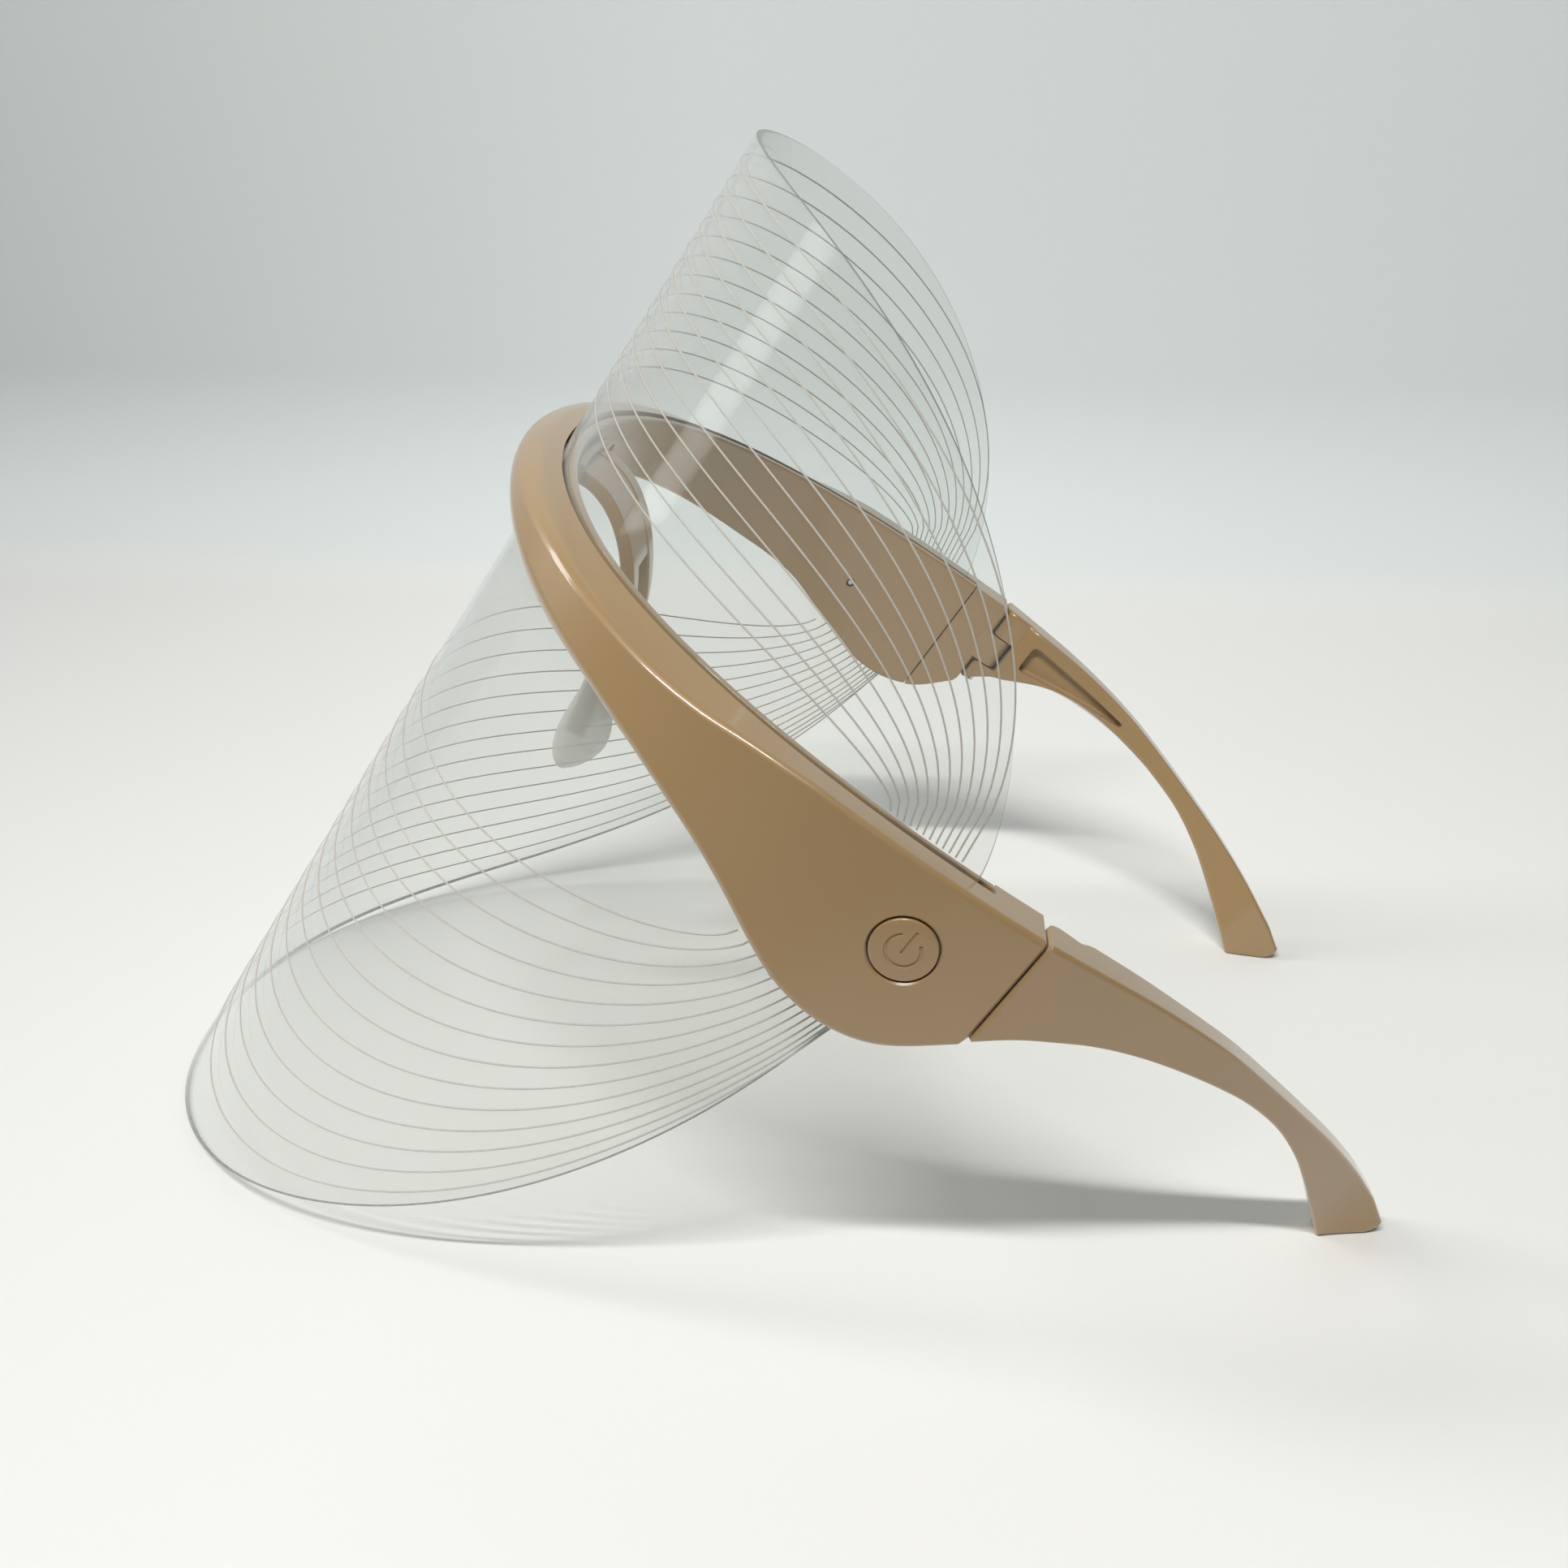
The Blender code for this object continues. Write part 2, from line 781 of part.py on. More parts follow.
def tongue_drop():
    """Height of a hinge's middle below the frame's top."""
    return seam_depth() / 2


def hinge_tongue(side, side_name):
    """Tongue behind the frame's end, round about the hinge's axis."""
    axis = hinge_axis(side)
    top, low = TONGUE_HEIGHT / 2 - tongue_drop(), -TONGUE_HEIGHT / 2 - tongue_drop()
    eye = rod(side_name + "_tongue_eye", HINGE_RADIUS, axis + Vector((0, 0, low)),
              axis + Vector((0, 0, top)), cutter=True)
    root = HINGE_SETBACK + OVERRUN
    middle = axis + Vector((0, -root / 2, -tongue_drop()))
    web = box(side_name + "_tongue_web", (2 * HINGE_RADIUS, root, TONGUE_HEIGHT),
              Matrix.Translation(middle), cutter=True)
    return eye, web


def pin_hole(side, side_name):
    """Bore for the hinge pin through tongue and fork."""
    axis = hinge_axis(side)
    top = axis + Vector((0, 0, -PIN_TOP + GAP))
    low = axis + Vector((0, 0, -seam_depth() - OVERRUN))
    return rod(side_name + "_pin_hole", PIN_HOLE_RADIUS, low, top, cutter=True,
               steps=SMALL_CIRCLE_STEPS)


def screw_places():
    """Name, length along the wall and drop of each inner frame screw."""
    temple_arc = SIDE_LENGTH - TEMPLE_SCREW_AHEAD
    temple_drop = HOUSING_DEPTH * TEMPLE_SCREW_DROP_SHARE
    return (
        ("left_brow", BROW_SCREW_ARC, BROW_SCREW_DROP),
        ("right_brow", -BROW_SCREW_ARC, BROW_SCREW_DROP),
        ("left_temple", temple_arc, temple_drop),
        ("right_temple", -temple_arc, temple_drop),
    )


def wall_rod(name, arc, drop, radius, start, end, steps=SMALL_CIRCLE_STEPS):
    """Round cutter square to the wall, between two insets."""
    return rod(name, radius, wall_point(arc, start, -drop), wall_point(arc, end, -drop),
               cutter=True, steps=steps)


def button_bore():
    """Hole of the power button in the left housing."""
    return wall_rod("button_bore", BUTTON_ARC, BUTTON_DROP, BUTTON_RADIUS + GAP,
                    -OVERRUN, OUTER_WALL + OVERRUN / 2, CIRCLE_STEPS)


def socket_matrix():
    """Centre of the charging socket: x inwards, y backwards, z up."""
    arc = BUTTON_ARC - SOCKET_FORWARD
    middle = -outer_depth(arc) + SOCKET_RECESS + SOCKET_DEPTH / 2
    return wall_matrix(arc, SOCKET_INSET, middle)


def slot_outline(width, thick):
    """Outline of a slot with round ends, in the plane across the wall."""
    radius = thick / 2
    return rounded_rectangle((-radius, -width / 2), (radius, width / 2),
                             radius * SLOT_ROUND_SHARE, ROUND_STEPS)


def slot_bar(name, width, thick, low, high, material=None, cutter=False):
    """A bar of slot shape on the charging socket's axis."""
    place = socket_matrix()
    rings = [
        [place @ Vector((x, y, z)) for x, y in slot_outline(width, thick)]
        for z in (low, high)
    ]
    return loft(name, rings, material, cutter)


def socket_hole():
    """Opening for the charging plug through the housing's underside."""
    return slot_bar("socket_hole", SOCKET_WIDTH + 2 * SOCKET_CLEARANCE,
                    SOCKET_THICKNESS + 2 * SOCKET_CLEARANCE, -SOCKET_DEPTH,
                    SOCKET_DEPTH / 2, cutter=True)


def outer_frame():
    """Outer shell of the brow with both temple housings."""
    piece = outer_body()
    cut(piece, channel_cutter())
    for name, arc, drop in screw_places():
        boss = wall_rod(name + "_boss", arc, drop, BOSS_RADIUS, OUTER_WALL / 2, groove(arc))
        hole = wall_rod(name + "_boss_hole", arc, drop, SCREW_HOLE_RADIUS, OUTER_WALL,
                        groove(arc) + OVERRUN)
        join(piece, boss)
        cut(piece, hole)
    for side, side_name in ((1, "left"), (-1, "right")):
        join(piece, *hinge_tongue(side, side_name))
        cut(piece, pin_hole(side, side_name + "_frame"))
    cut(piece, button_bore(), socket_hole())
    return piece


# Inner frame


def inner_outline(arc):
    """Cross-section of the inner frame."""
    low = (thickness(arc) - INNER_WALL, -depth(arc))
    high = (thickness(arc), 0.0)
    radius = INNER_EDGE_ROUND
    both = (radius, radius)
    return (
        [(low[0], high[1])]
        + [(low[0], -depth(arc, low[0]))]
        + rounded_corner((high[0] - radius, low[1] + radius), both, 3, 2)
        + rounded_corner((high[0] - radius, high[1] - radius), both, 0, 2)
    )


def inner_frame():
    """Inner shell that closes the frame towards the wearer."""
    end = BLOCK_ARC - GAP
    rings = [wall_ring(arc, inner_outline(arc)) for arc in both_ways(even_arcs(end))]
    piece = loft("inner_frame", rings, frame_plastic("inner_frame_plastic"))
    for name, arc, drop in screw_places():
        inside = thickness(arc)
        wide = wall_rod(name + "_counterbore", arc, drop, SCREW_COUNTERBORE_RADIUS,
                        inside - SCREW_COUNTERBORE_DEPTH, inside + OVERRUN)
        narrow = wall_rod(name + "_inner_hole", arc, drop, SCREW_HOLE_RADIUS,
                          inside - INNER_WALL - OVERRUN, inside)
        cut(piece, wide, narrow)
    for side in (1, -1):
        cut(piece, nose_screw_hole(side, "inner"))
    return piece


# Clear sheet


def superellipse(share, powers):
    """Height share at a share of the run."""
    run, rise = powers
    return max(1 - min(share, 1.0) ** run, 0.0) ** (1 / rise)


def sheet_end():
    """Length along the wall at which the sheet stops."""
    return BLOCK_ARC - SHEET_END_INSET


def sheet_heights(arc):
    """Lower and upper edge of the sheet at a length along the wall."""
    share = abs(arc) / sheet_end()
    top = max(SHEET_ABOVE * superellipse(share, SHEET_TOP_POWERS), -OUTER_WALL)
    low = min(-SHEET_BELOW * superellipse(share, SHEET_LOW_POWERS),
              OUTER_WALL - depth(arc, groove(arc)))
    return low, top


def sheet_arcs():
    """Lengths along the sheet, closer together towards its ends."""
    count = SIDE_STATIONS + 6
    return [sheet_end() * math.sin(math.pi / 2 * i / count) for i in range(count + 1)]


def sheet_ring(arc):
    """Cross-section of the sheet, from its outer lower corner."""
    near = groove(arc) + GAP
    far = near + SHEET_THICKNESS
    low, top = sheet_heights(arc)
    return wall_ring(arc, [(near, low), (far, low), (far, top), (near, top)])


def visor_sheet():
    """Clear light guide, slotted between the two halves of the frame."""
    rings = [sheet_ring(arc) for arc in both_ways(sheet_arcs())]
    clear = principled("clear_sheet", (0.90, 0.92, 0.91), 0.05, clear=1.0)
    piece = loft("visor_sheet", rings, clear)
    for name, arc, drop in screw_places():
        near = groove(arc)
        cut(piece, wall_rod(name + "_sheet_hole", arc, drop, SCREW_HOLE_RADIUS + GAP,
                            near - OVERRUN, near + slot_width() + OVERRUN))
    return piece


def frame_screws():
    """Small screws through the inner frame into the outer frame's bosses."""
    for name, arc, drop in screw_places():
        seat = thickness(arc) - SCREW_COUNTERBORE_DEPTH + GAP / 3
        small_screw(name + "_screw", wall_matrix(arc, seat, -drop), SCREW_LENGTH)


def small_screw(name, seat, length):
    """A round-headed screw whose shank points outwards from its seat."""
    turn = Matrix.Rotation(math.pi / 2, 4, "Y")
    profile = (
        (0, SCREW_HEAD_HEIGHT),
        (SCREW_HEAD_RADIUS * HEAD_FLAT_SHARE, SCREW_HEAD_HEIGHT),
        (SCREW_HEAD_RADIUS, SCREW_HEAD_HEIGHT * HEAD_SIDE_SHARE),
        (SCREW_HEAD_RADIUS, 0),
        (SCREW_RADIUS, 0),
        (SCREW_RADIUS, SCREW_RADIUS - length),
        (0, -length),
    )
    return turned(name, profile, seat @ turn, steel(name + "_steel"), SMALL_CIRCLE_STEPS)


# Power button, switch and control board


def button_matrix(inset):
    """Axes on the button: z outwards, square to the wall."""
    return wall_matrix(BUTTON_ARC, inset, -BUTTON_DROP) @ Matrix.Rotation(-math.pi / 2, 4, "Y")


def power_button():
    """Round cap, held from behind by a thin flange."""
    flange_top = -OUTER_WALL - GAP
    back = flange_top - BUTTON_FLANGE_THICKNESS
    round_ = BUTTON_EDGE_ROUND
    profile = (
        (0, 0),
        (BUTTON_RADIUS - round_, 0),
        (BUTTON_RADIUS, -round_),
        (BUTTON_RADIUS, flange_top),
        (BUTTON_RADIUS + BUTTON_FLANGE + GAP, flange_top),
        (BUTTON_RADIUS + BUTTON_FLANGE + GAP, back),
        (0, back),
    )
    return turned("power_button", profile, button_matrix(0), frame_plastic("button_plastic"))


def button_back():
    """How deep the back of the button lies at rest."""
    return OUTER_WALL + GAP + BUTTON_FLANGE_THICKNESS


def switch_plunger():
    """Pin of the switch that the button pushes."""
    start = button_back() + GAP
    return rod("switch_plunger", PLUNGER_RADIUS,
               wall_point(BUTTON_ARC, start, -BUTTON_DROP),
               wall_point(BUTTON_ARC, start + PLUNGER_LENGTH, -BUTTON_DROP),
               principled("plunger_black", (0.02, 0.02, 0.02), 0.4), steps=SMALL_CIRCLE_STEPS)


def tactile_switch():
    """Low switch on the board, with a blind bore for its plunger."""
    middle = SWITCH_SETBACK + SWITCH_THICKNESS / 2
    size = (SWITCH_THICKNESS, SWITCH_SIDE, SWITCH_SIDE)
    piece = box("tactile_switch", size, wall_matrix(BUTTON_ARC, middle, -BUTTON_DROP),
                steel("switch_metal"))
    bore = wall_rod("switch_bore", BUTTON_ARC, BUTTON_DROP, SWITCH_BORE_RADIUS,
                    SWITCH_SETBACK - OVERRUN / 2, SWITCH_SETBACK + SWITCH_BORE_DEPTH)
    cut(piece, bore)
    return piece


def board_inset():
    """Depth of the control board's middle plane at the button."""
    return SWITCH_SETBACK + SWITCH_THICKNESS + GAP + BOARD_THICKNESS / 2


def board_rear():
    """How far the control board reaches behind the button's axis."""
    return led_board_arc() - LED_BOARD_THICKNESS / 2 - GAP - BUTTON_ARC


def board_height():
    """Height of the control board, which ends above the charging socket."""
    socket_top = outer_depth(BUTTON_ARC - SOCKET_FORWARD) - SOCKET_RECESS - SOCKET_DEPTH
    return socket_top - BOARD_CLEARANCE - BOARD_TOP


def board_matrix(forward, drop, inset):
    """Place on the control board: ahead of the button's axis, below the top."""
    base = wall_matrix(BUTTON_ARC, inset, 0)
    return base @ Matrix.Translation((0, -forward, -drop))


def control_board():
    """Circuit board behind the button."""
    middle = BOARD_LENGTH / 2 - board_rear()
    size = (BOARD_THICKNESS, BOARD_LENGTH, board_height())
    place = board_matrix(middle, BOARD_TOP + board_height() / 2, board_inset())
    return box("control_board", size, place, board_green("control_board_green"))


def controller_chip():
    """Controller on the outer side of the board."""
    inset = board_inset() - BOARD_THICKNESS / 2 - GAP / 3 - CHIP_THICKNESS / 2
    place = board_matrix(CHIP_FORWARD, BOARD_TOP + CHIP_DROP, inset)
    return box("controller_chip", (CHIP_THICKNESS, CHIP_SIDE, CHIP_SIDE), place,
               principled("chip_black", (0.02, 0.02, 0.02), 0.35))


def charging_socket():
    """Metal shell of the charging socket, open downwards, with its tongue."""
    half = SOCKET_DEPTH / 2
    shell = slot_bar("charging_socket", SOCKET_WIDTH, SOCKET_THICKNESS, -half, half,
                     steel("socket_metal"))
    inner_width = SOCKET_WIDTH - 2 * SOCKET_SHELL
    inner_thick = SOCKET_THICKNESS - 2 * SOCKET_SHELL
    hollow = slot_bar("socket_hollow", inner_width, inner_thick, -half - OVERRUN,
                      half - SOCKET_FLOOR, cutter=True)
    length = SOCKET_DEPTH - SOCKET_FLOOR / 2 - SOCKET_TONGUE_RECESS
    top = half - SOCKET_FLOOR / 2
    place = socket_matrix() @ Matrix.Translation((0, 0, top - length / 2))
    tongue = box("socket_tongue",
                 (SOCKET_TONGUE_THICKNESS, inner_width - 2 * SOCKET_TONGUE_SIDE, length),
                 place, cutter=True)
    cut(shell, hollow)
    join(shell, tongue)
    return shell


# Battery, light strips and wiring


def battery():
    """Flat cell in the right housing."""
    middle = BATTERY_INSET + BATTERY_THICKNESS / 2
    size = (BATTERY_THICKNESS, BATTERY_LENGTH, BATTERY_HEIGHT)
    place = wall_matrix(-BATTERY_ARC, middle, -BATTERY_TOP - BATTERY_HEIGHT / 2)
    piece = box("battery", size, place, principled("battery_foil", (0.55, 0.56, 0.58), 0.4, 0.7))
    soften(piece, BATTERY_THICKNESS / 5)
    return piece


def soften(piece, width, segments=2):
    """Rounds the sharp edges of a piece."""
    bevel = piece.modifiers.new("soften", "BEVEL")
    bevel.width = width
    bevel.segments = segments
    bevel.limit_method = "ANGLE"
    bevel.harden_normals = False
    return bevel


def led_arc():
    """Length along the wall of the lights' middle, just behind the sheet."""
    return sheet_end() + GAP + LED_THICKNESS / 2


def led_board_arc():
    """Length along the wall of the light strips' boards."""
    return led_arc() + LED_THICKNESS / 2 + GAP / 3 + LED_BOARD_THICKNESS / 2


def led_board_height():
    """Height of a light strip's board, clear of the housing's floor."""
    room = outer_depth(led_board_arc()) - OUTER_WALL
    return room - LED_BOARD_TOP - SEAM_LOW_ROUND[1]


def led_strips():
    """A narrow board at each end of the sheet with its row of lights."""
    pitch = (led_board_height() - 2 * LED_MARGIN) / (LED_COUNT - 1)
    for side, side_name in ((1, "left"), (-1, "right")):
        arc = side * led_board_arc()
        inner = groove(arc) + GAP + SHEET_THICKNESS
        width = inner - LED_BOARD_INSET
        size = (width, LED_BOARD_THICKNESS, led_board_height())
        middle = -LED_BOARD_TOP - led_board_height() / 2
        box("led_board_" + side_name, size,
            wall_matrix(arc, LED_BOARD_INSET + width / 2, middle),
            board_green("led_board_green_" + side_name))
        for i in range(LED_COUNT):
            place = wall_matrix(side * led_arc(), groove(arc) + slot_width() / 2,
                                -LED_BOARD_TOP - LED_MARGIN - i * pitch)
            box(f"led_{side_name}_{i + 1}", (LED_WIDTH, LED_THICKNESS, LED_HEIGHT), place,
                principled(f"led_{side_name}_{i + 1}_lens", (0.85, 0.80, 0.55), 0.25))


def wire(name, arcs, inset):
    """Round lead along the wall."""
    curve = bpy.data.curves.new(name, "CURVE")
    curve.dimensions = "3D"
    curve.bevel_depth = WIRE_RADIUS
    curve.bevel_resolution = 2
    curve.use_fill_caps = True
    spline = curve.splines.new("POLY")
    spline.points.add(len(arcs) - 1)
    for point, arc in zip(spline.points, arcs):
        point.co = (*wall_point(arc, inset, -WIRE_DROP), 1)
    made = bpy.data.objects.new(name, curve)
    PARTS.objects.link(made)
    curve.materials.append(principled(name + "_insulation", (0.55, 0.03, 0.03), 0.45))
    return made


def wiring():
    """Lead through the brow from board to battery, and the right strip's lead."""
    left_end = BUTTON_ARC - BOARD_LENGTH + board_rear() - 2 * GAP
    right_end = -(BATTERY_ARC - BATTERY_LENGTH / 2 - 2 * GAP)
    count = 2 * SIDE_STATIONS
    arcs = [mix(right_end, left_end, i / count) for i in range(count + 1)]
    wire("brow_wiring", arcs, WIRE_INSET)
    start = -(BATTERY_ARC + BATTERY_LENGTH / 2 + 2 * GAP)
    end = -(led_board_arc() - LED_BOARD_THICKNESS / 2 - GAP)
    wire("right_strip_lead", [start, (start + end) / 2, end], WIRE_INSET)


# Hinges and arms


def hinge_pins():
    """Steel pins through tongue and fork."""
    for side, side_name in ((1, "left"), (-1, "right")):
        axis = hinge_axis(side)
        top = axis + Vector((0, 0, -PIN_TOP))
        low = axis + Vector((0, 0, PIN_BOTTOM - seam_depth()))
        rod("hinge_pin_" + side_name, PIN_RADIUS, low, top,
            steel("pin_steel_" + side_name), steps=SMALL_CIRCLE_STEPS)


def arm_outer(back):
    """Distance of the arm's outer face from the middle plane, behind the seam."""
    share = back / ARM_REACH
    start, end = ARM_TIP_SHARES
    turn = min(max((share - start) / (end - start), 0), 1)
    bent = min(share, start) + (end - start) * turn * (1 - turn / 2)
    straight = mix(HALF_WIDTH, TIP_HALF_SPAN, bent)
    tip = ARM_TIP_LEAN_SHARE * ARM_REACH * (share - bent)
    return straight + ARM_BOW * 2 * bent * (1 - bent) - tip


def arm_thickness(back):
    """Thickness of an arm: full at the hinge, slim from the waist on."""
    share = back / ARM_REACH
    waist = mix(SEAM_THICKNESS, ARM_WAIST_THICKNESS, smooth(share / ARM_WAIST_SHARE))
    slim = smooth((share - ARM_WAIST_SHARE) / (1 - ARM_WAIST_SHARE))
    return mix(waist, ARM_TIP_THICKNESS, slim)


def arm_inner(back):
    """Distance of the arm's inner face, rounded about the hinge's axis."""
    setback = back - HINGE_SETBACK
    knuckle = HALF_WIDTH - SEAM_THICKNESS
    if setback < 0:
        return knuckle + HINGE_RADIUS - math.sqrt(HINGE_RADIUS**2 - setback**2)
    share = smooth((setback - HINGE_RADIUS - GAP) / HINGE_RADIUS)
    return mix(knuckle, arm_outer(back) - arm_thickness(back), share)


def lean_angle():
    """Backward lean that puts the sheet's lower edge and both soles on the ground."""
    edge = [sheet_ring(arc)[1] for arc in sheet_arcs()]
    angle = 0.0
    for _ in range(LEAN_ROUNDS):
        down = Vector((0, math.sin(angle), -math.cos(angle)))
        low = max(edge, key=down.dot)
        angle = math.atan2(-ARM_DROP - low.z, SEAM_BACK + ARM_REACH - low.y)
    return angle


def sole_point(along):
    """Point of the sole, a length behind its middle: distance behind the seam, height."""
    return ARM_REACH + along * math.cos(LEAN), along * math.sin(LEAN) - ARM_DROP


LEAN = lean_angle()


def arm_profile():
    """Stations of an arm: distance behind the seam, lower edge, upper edge."""
    backs = [GAP, GAP + SEAM_CHAMFER]
    backs += [mix(GAP, HINGE_SETBACK, share) for share in ARM_SEAM_STATION_SHARES]
    backs += [share * ARM_REACH for share in ARM_STATION_SHARES]
    stations = []
    front, front_height = toe_point(1)
    low_table = ((0, (seam_depth() - ARM_SEAM_STEP) / ARM_DROP),)
    low_table += ARM_LOW_SHARES + ((front / ARM_REACH, -front_height / ARM_DROP),)
    for back in backs:
        low = -ARM_DROP * interpolate(low_table, back / ARM_REACH)
        stations.append((back, low, arm_top(back)))
    for share in TOE_STATION_SHARES:
        back, low = toe_point(share)
        stations.append((back, low, arm_top(back)))
    for share in SOLE_STATION_SHARES:
        back, low = sole_point(mix(-SOLE_LENGTH / 2, SOLE_LENGTH / 2, share))
        stations.append((back, low, arm_top(back)))
    for share in HEEL_STATION_SHARES:
        back, low = heel_point(share)
        stations.append((back, low, arm_top(back)))
    return stations


def toe_point(share):
    """Point of the rounded toe ahead of the sole: distance behind the seam, height."""
    back, height = sole_point(-SOLE_LENGTH / 2 - TOE_LENGTH * share)
    return back, height + TOE_LIFT * share**2


def heel_point(share):
    """Point of the rounded heel behind the sole: distance behind the seam, height."""
    back, height = sole_point(SOLE_LENGTH / 2 + HEEL_LENGTH * share)
    return back, height + HEEL_LIFT * share**2


def arm_top(back):
    """Height of an arm's upper edge; it falls to the heel behind the neck."""
    share = back / ARM_REACH
    if share <= 1:
        return -ARM_DROP * interpolate(ARM_TOP_SHARES, share)
    tip, height = heel_point(1)
    neck = -ARM_DROP * ARM_TOP_SHARES[-1][1]
    return mix(neck, height + HEEL_THICKNESS, (back - ARM_REACH) / (tip - ARM_REACH))


def arm_ring(side, back, low, top):
    """Cross-section of an arm, with a small bevel at the seam."""
    bevel = max(GAP + SEAM_CHAMFER - back, 0)
    inside, outside = arm_inner(back) + bevel / 2, arm_outer(back) - bevel
    low, top = low + bevel, top - bevel
    share = back / ARM_REACH
    fade = smooth((ARM_LIFT_END_SHARE - share) / ARM_LIFT_FADE_SHARE)
    lift = ARM_INNER_LIFT * smooth(share / ARM_LIFT_SHARE) * fade
    radius = min(ARM_EDGE_ROUND, (top - low) / 3, (outside - inside) / 3)
    outline = rounded_rectangle((inside, low), (outside, top), radius)
    middle = (low + top) / 2
    ring = []
    for x, z in outline:
        inner_share = (outside - x) / (outside - inside)
        raised = lift * inner_share if z < middle else 0
        ring.append(Vector((side * x, SEAM_BACK + back, z + raised)))
    return ring


def fork_slot(side, side_name):
    """Room in an arm for the frame's tongue, open forwards and inwards."""
    axis = hinge_axis(side)
    reach = HINGE_RADIUS + GAP
    height = TONGUE_HEIGHT + 2 * GAP
    size = (2 * SEAM_THICKNESS, 2 * SEAM_THICKNESS, height)
    corner = axis + Vector((side * reach, reach, -tongue_drop()))
    middle = corner - Vector((side * size[0] / 2, size[1] / 2, 0))
    return box(side_name + "_fork_slot", size, Matrix.Translation(middle), cutter=True)


def pocket_cutter(side, side_name):
    """Teardrop recess in the inner face of an arm."""
    start, end = POCKET_START, POCKET_START + POCKET_LENGTH
    stations = []
    for share in POCKET_STATION_SHARES:
        back = mix(start, end, share)
        height = mix(POCKET_HEIGHT, POCKET_TIP_HEIGHT, share) / 2
        if share == 0:
            height *= POCKET_START_SHARE
        middle = -POCKET_DROP - POCKET_HEIGHT / 2 + POCKET_RISE * math.sin(math.pi / 2 * share)
        inside = arm_inner(back)
        low, high = (inside - OVERRUN, middle - height), (inside + POCKET_DEPTH, middle + height)
        outline = rounded_rectangle(low, high, min(height, POCKET_DEPTH) / 3)
        stations.append([Vector((side * x, SEAM_BACK + back, z)) for x, z in outline])
    return loft(side_name + "_pocket", stations, cutter=True)


def temple_arms():
    """Both folding arms, with their origins on the hinge axes."""
    for side, side_name in ((1, "left"), (-1, "right")):
        name = "temple_arm_" + side_name
        rings = [arm_ring(side, *at) for at in arm_profile()]
        piece = loft(name, rings, frame_plastic("arm_plastic_" + side_name))
        cut(piece, fork_slot(side, side_name), pin_hole(side, side_name + "_arm"),
            pocket_cutter(side, side_name))
        axis = hinge_axis(side)
        piece.data.transform(Matrix.Translation(-axis))
        piece.location = axis


# Nose rest


def nose_path(share):
    """Middle line of a leg: distance behind the brow and height."""
    start = thickness(0) + GAP + NOSE_PLATE_THICKNESS / 2
    handles = (
        Vector((start, -NOSE_ROOT_DROP)),
        Vector((start + NOSE_CREST_BACK, -NOSE_CREST_DROP)),
        Vector((start + NOSE_BEND_BACK, -NOSE_BEND_DROP)),
        Vector((start + NOSE_REACH, -NOSE_LEG_DROP)),
    )
    u = 1 - share
    weights = (u**3, 3 * u * u * share, 3 * u * share * share, share**3)
    return sum((h * w for h, w in zip(handles, weights)), Vector((0, 0)))


def stem_end():
    """Lower end of a stem's middle line."""
    return nose_path(1) + Vector((NOSE_STEM_BACK, -NOSE_STEM_LENGTH))


def leg_spine(start=0):
    """Points and shares down a leg and its stem, from a tenth of the leg."""
    points = [(nose_path(i / 10), i / 10) for i in range(start, 11)]
    for share in STEM_STATION_SHARES:
        points.append((nose_path(1).lerp(stem_end(), share), 1 + share))
    return points


def leg_spread(point):
    """Sideways place of a leg's middle, wider apart lower down."""
    fall = (-point.y - NOSE_PLATE_BOTTOM) / (NOSE_LEG_DROP - NOSE_PLATE_BOTTOM)
    return NOSE_LEG_SPACING + NOSE_LEG_SPLAY * smooth(fall)


def leg_section(side, spine, i, clearance=0.0):
    """Cross-section of a leg or stem at a point of its spine."""
    point, share = spine[i]
    before, after = spine[max(i - 1, 0)][0], spine[min(i + 1, len(spine) - 1)][0]
    ahead = (after - before).normalized()
    across = Vector((-ahead.y, ahead.x))
    stem = smooth((share - STEM_START_SHARE) / STEM_RUN_SHARE)
    half_width = mix(NOSE_LEG_WIDTH, NOSE_STEM_THICKNESS, stem) / 2 + clearance
    half_thick = mix(NOSE_LEG_THICKNESS, NOSE_STEM_WIDTH, stem) / 2 + clearance
    outline = rounded_rectangle((-half_width, -half_thick), (half_width, half_thick),
                                min(half_width, half_thick) / 2)
    ring = []
    for x, z in outline:
        at = point + across * z
        ring.append(Vector((side * (leg_spread(point) + x), at.x, at.y)))
    return ring


def leg_rings(side):
    """Cross-sections down one leg."""
    spine = leg_spine()
    return [leg_section(side, spine, i) for i in range(len(spine))]


def nose_plate():
    """Plate on the inner face of the brow, curved with it."""
    rings = []
    for share in PLATE_STATION_SHARES:
        arc = share * NOSE_PLATE_HALF_WIDTH
        near = thickness(arc) + GAP
        outline = rounded_rectangle((near, -NOSE_PLATE_BOTTOM),
                                    (near + NOSE_PLATE_THICKNESS, -NOSE_PLATE_TOP),
                                    PLATE_EDGE_ROUND)
        rings.append(wall_ring(arc, outline))
    return loft("nose_bridge", rings, frame_plastic("nose_plastic"))


def nose_web():
    """Saddle between the two legs above the wearer's nose."""
    rings = []
    half = NOSE_LEG_THICKNESS / 2 * WEB_THICKNESS_SHARE
    for share in WEB_STATION_SHARES:
        point, after = nose_path(share), nose_path(share + 1 / ARC_SAMPLES)
        ahead = (after - point).normalized()
        across = Vector((-ahead.y, ahead.x))
        low, high = point - across * half, point + across * half
        wide = leg_spread(point)
        rings.append([
            Vector((-wide, low.x, low.y)),
            Vector((wide, low.x, low.y)),
            Vector((wide, high.x, high.y)),
            Vector((-wide, high.x, high.y)),
        ])
    return loft("nose_web", rings, cutter=True)


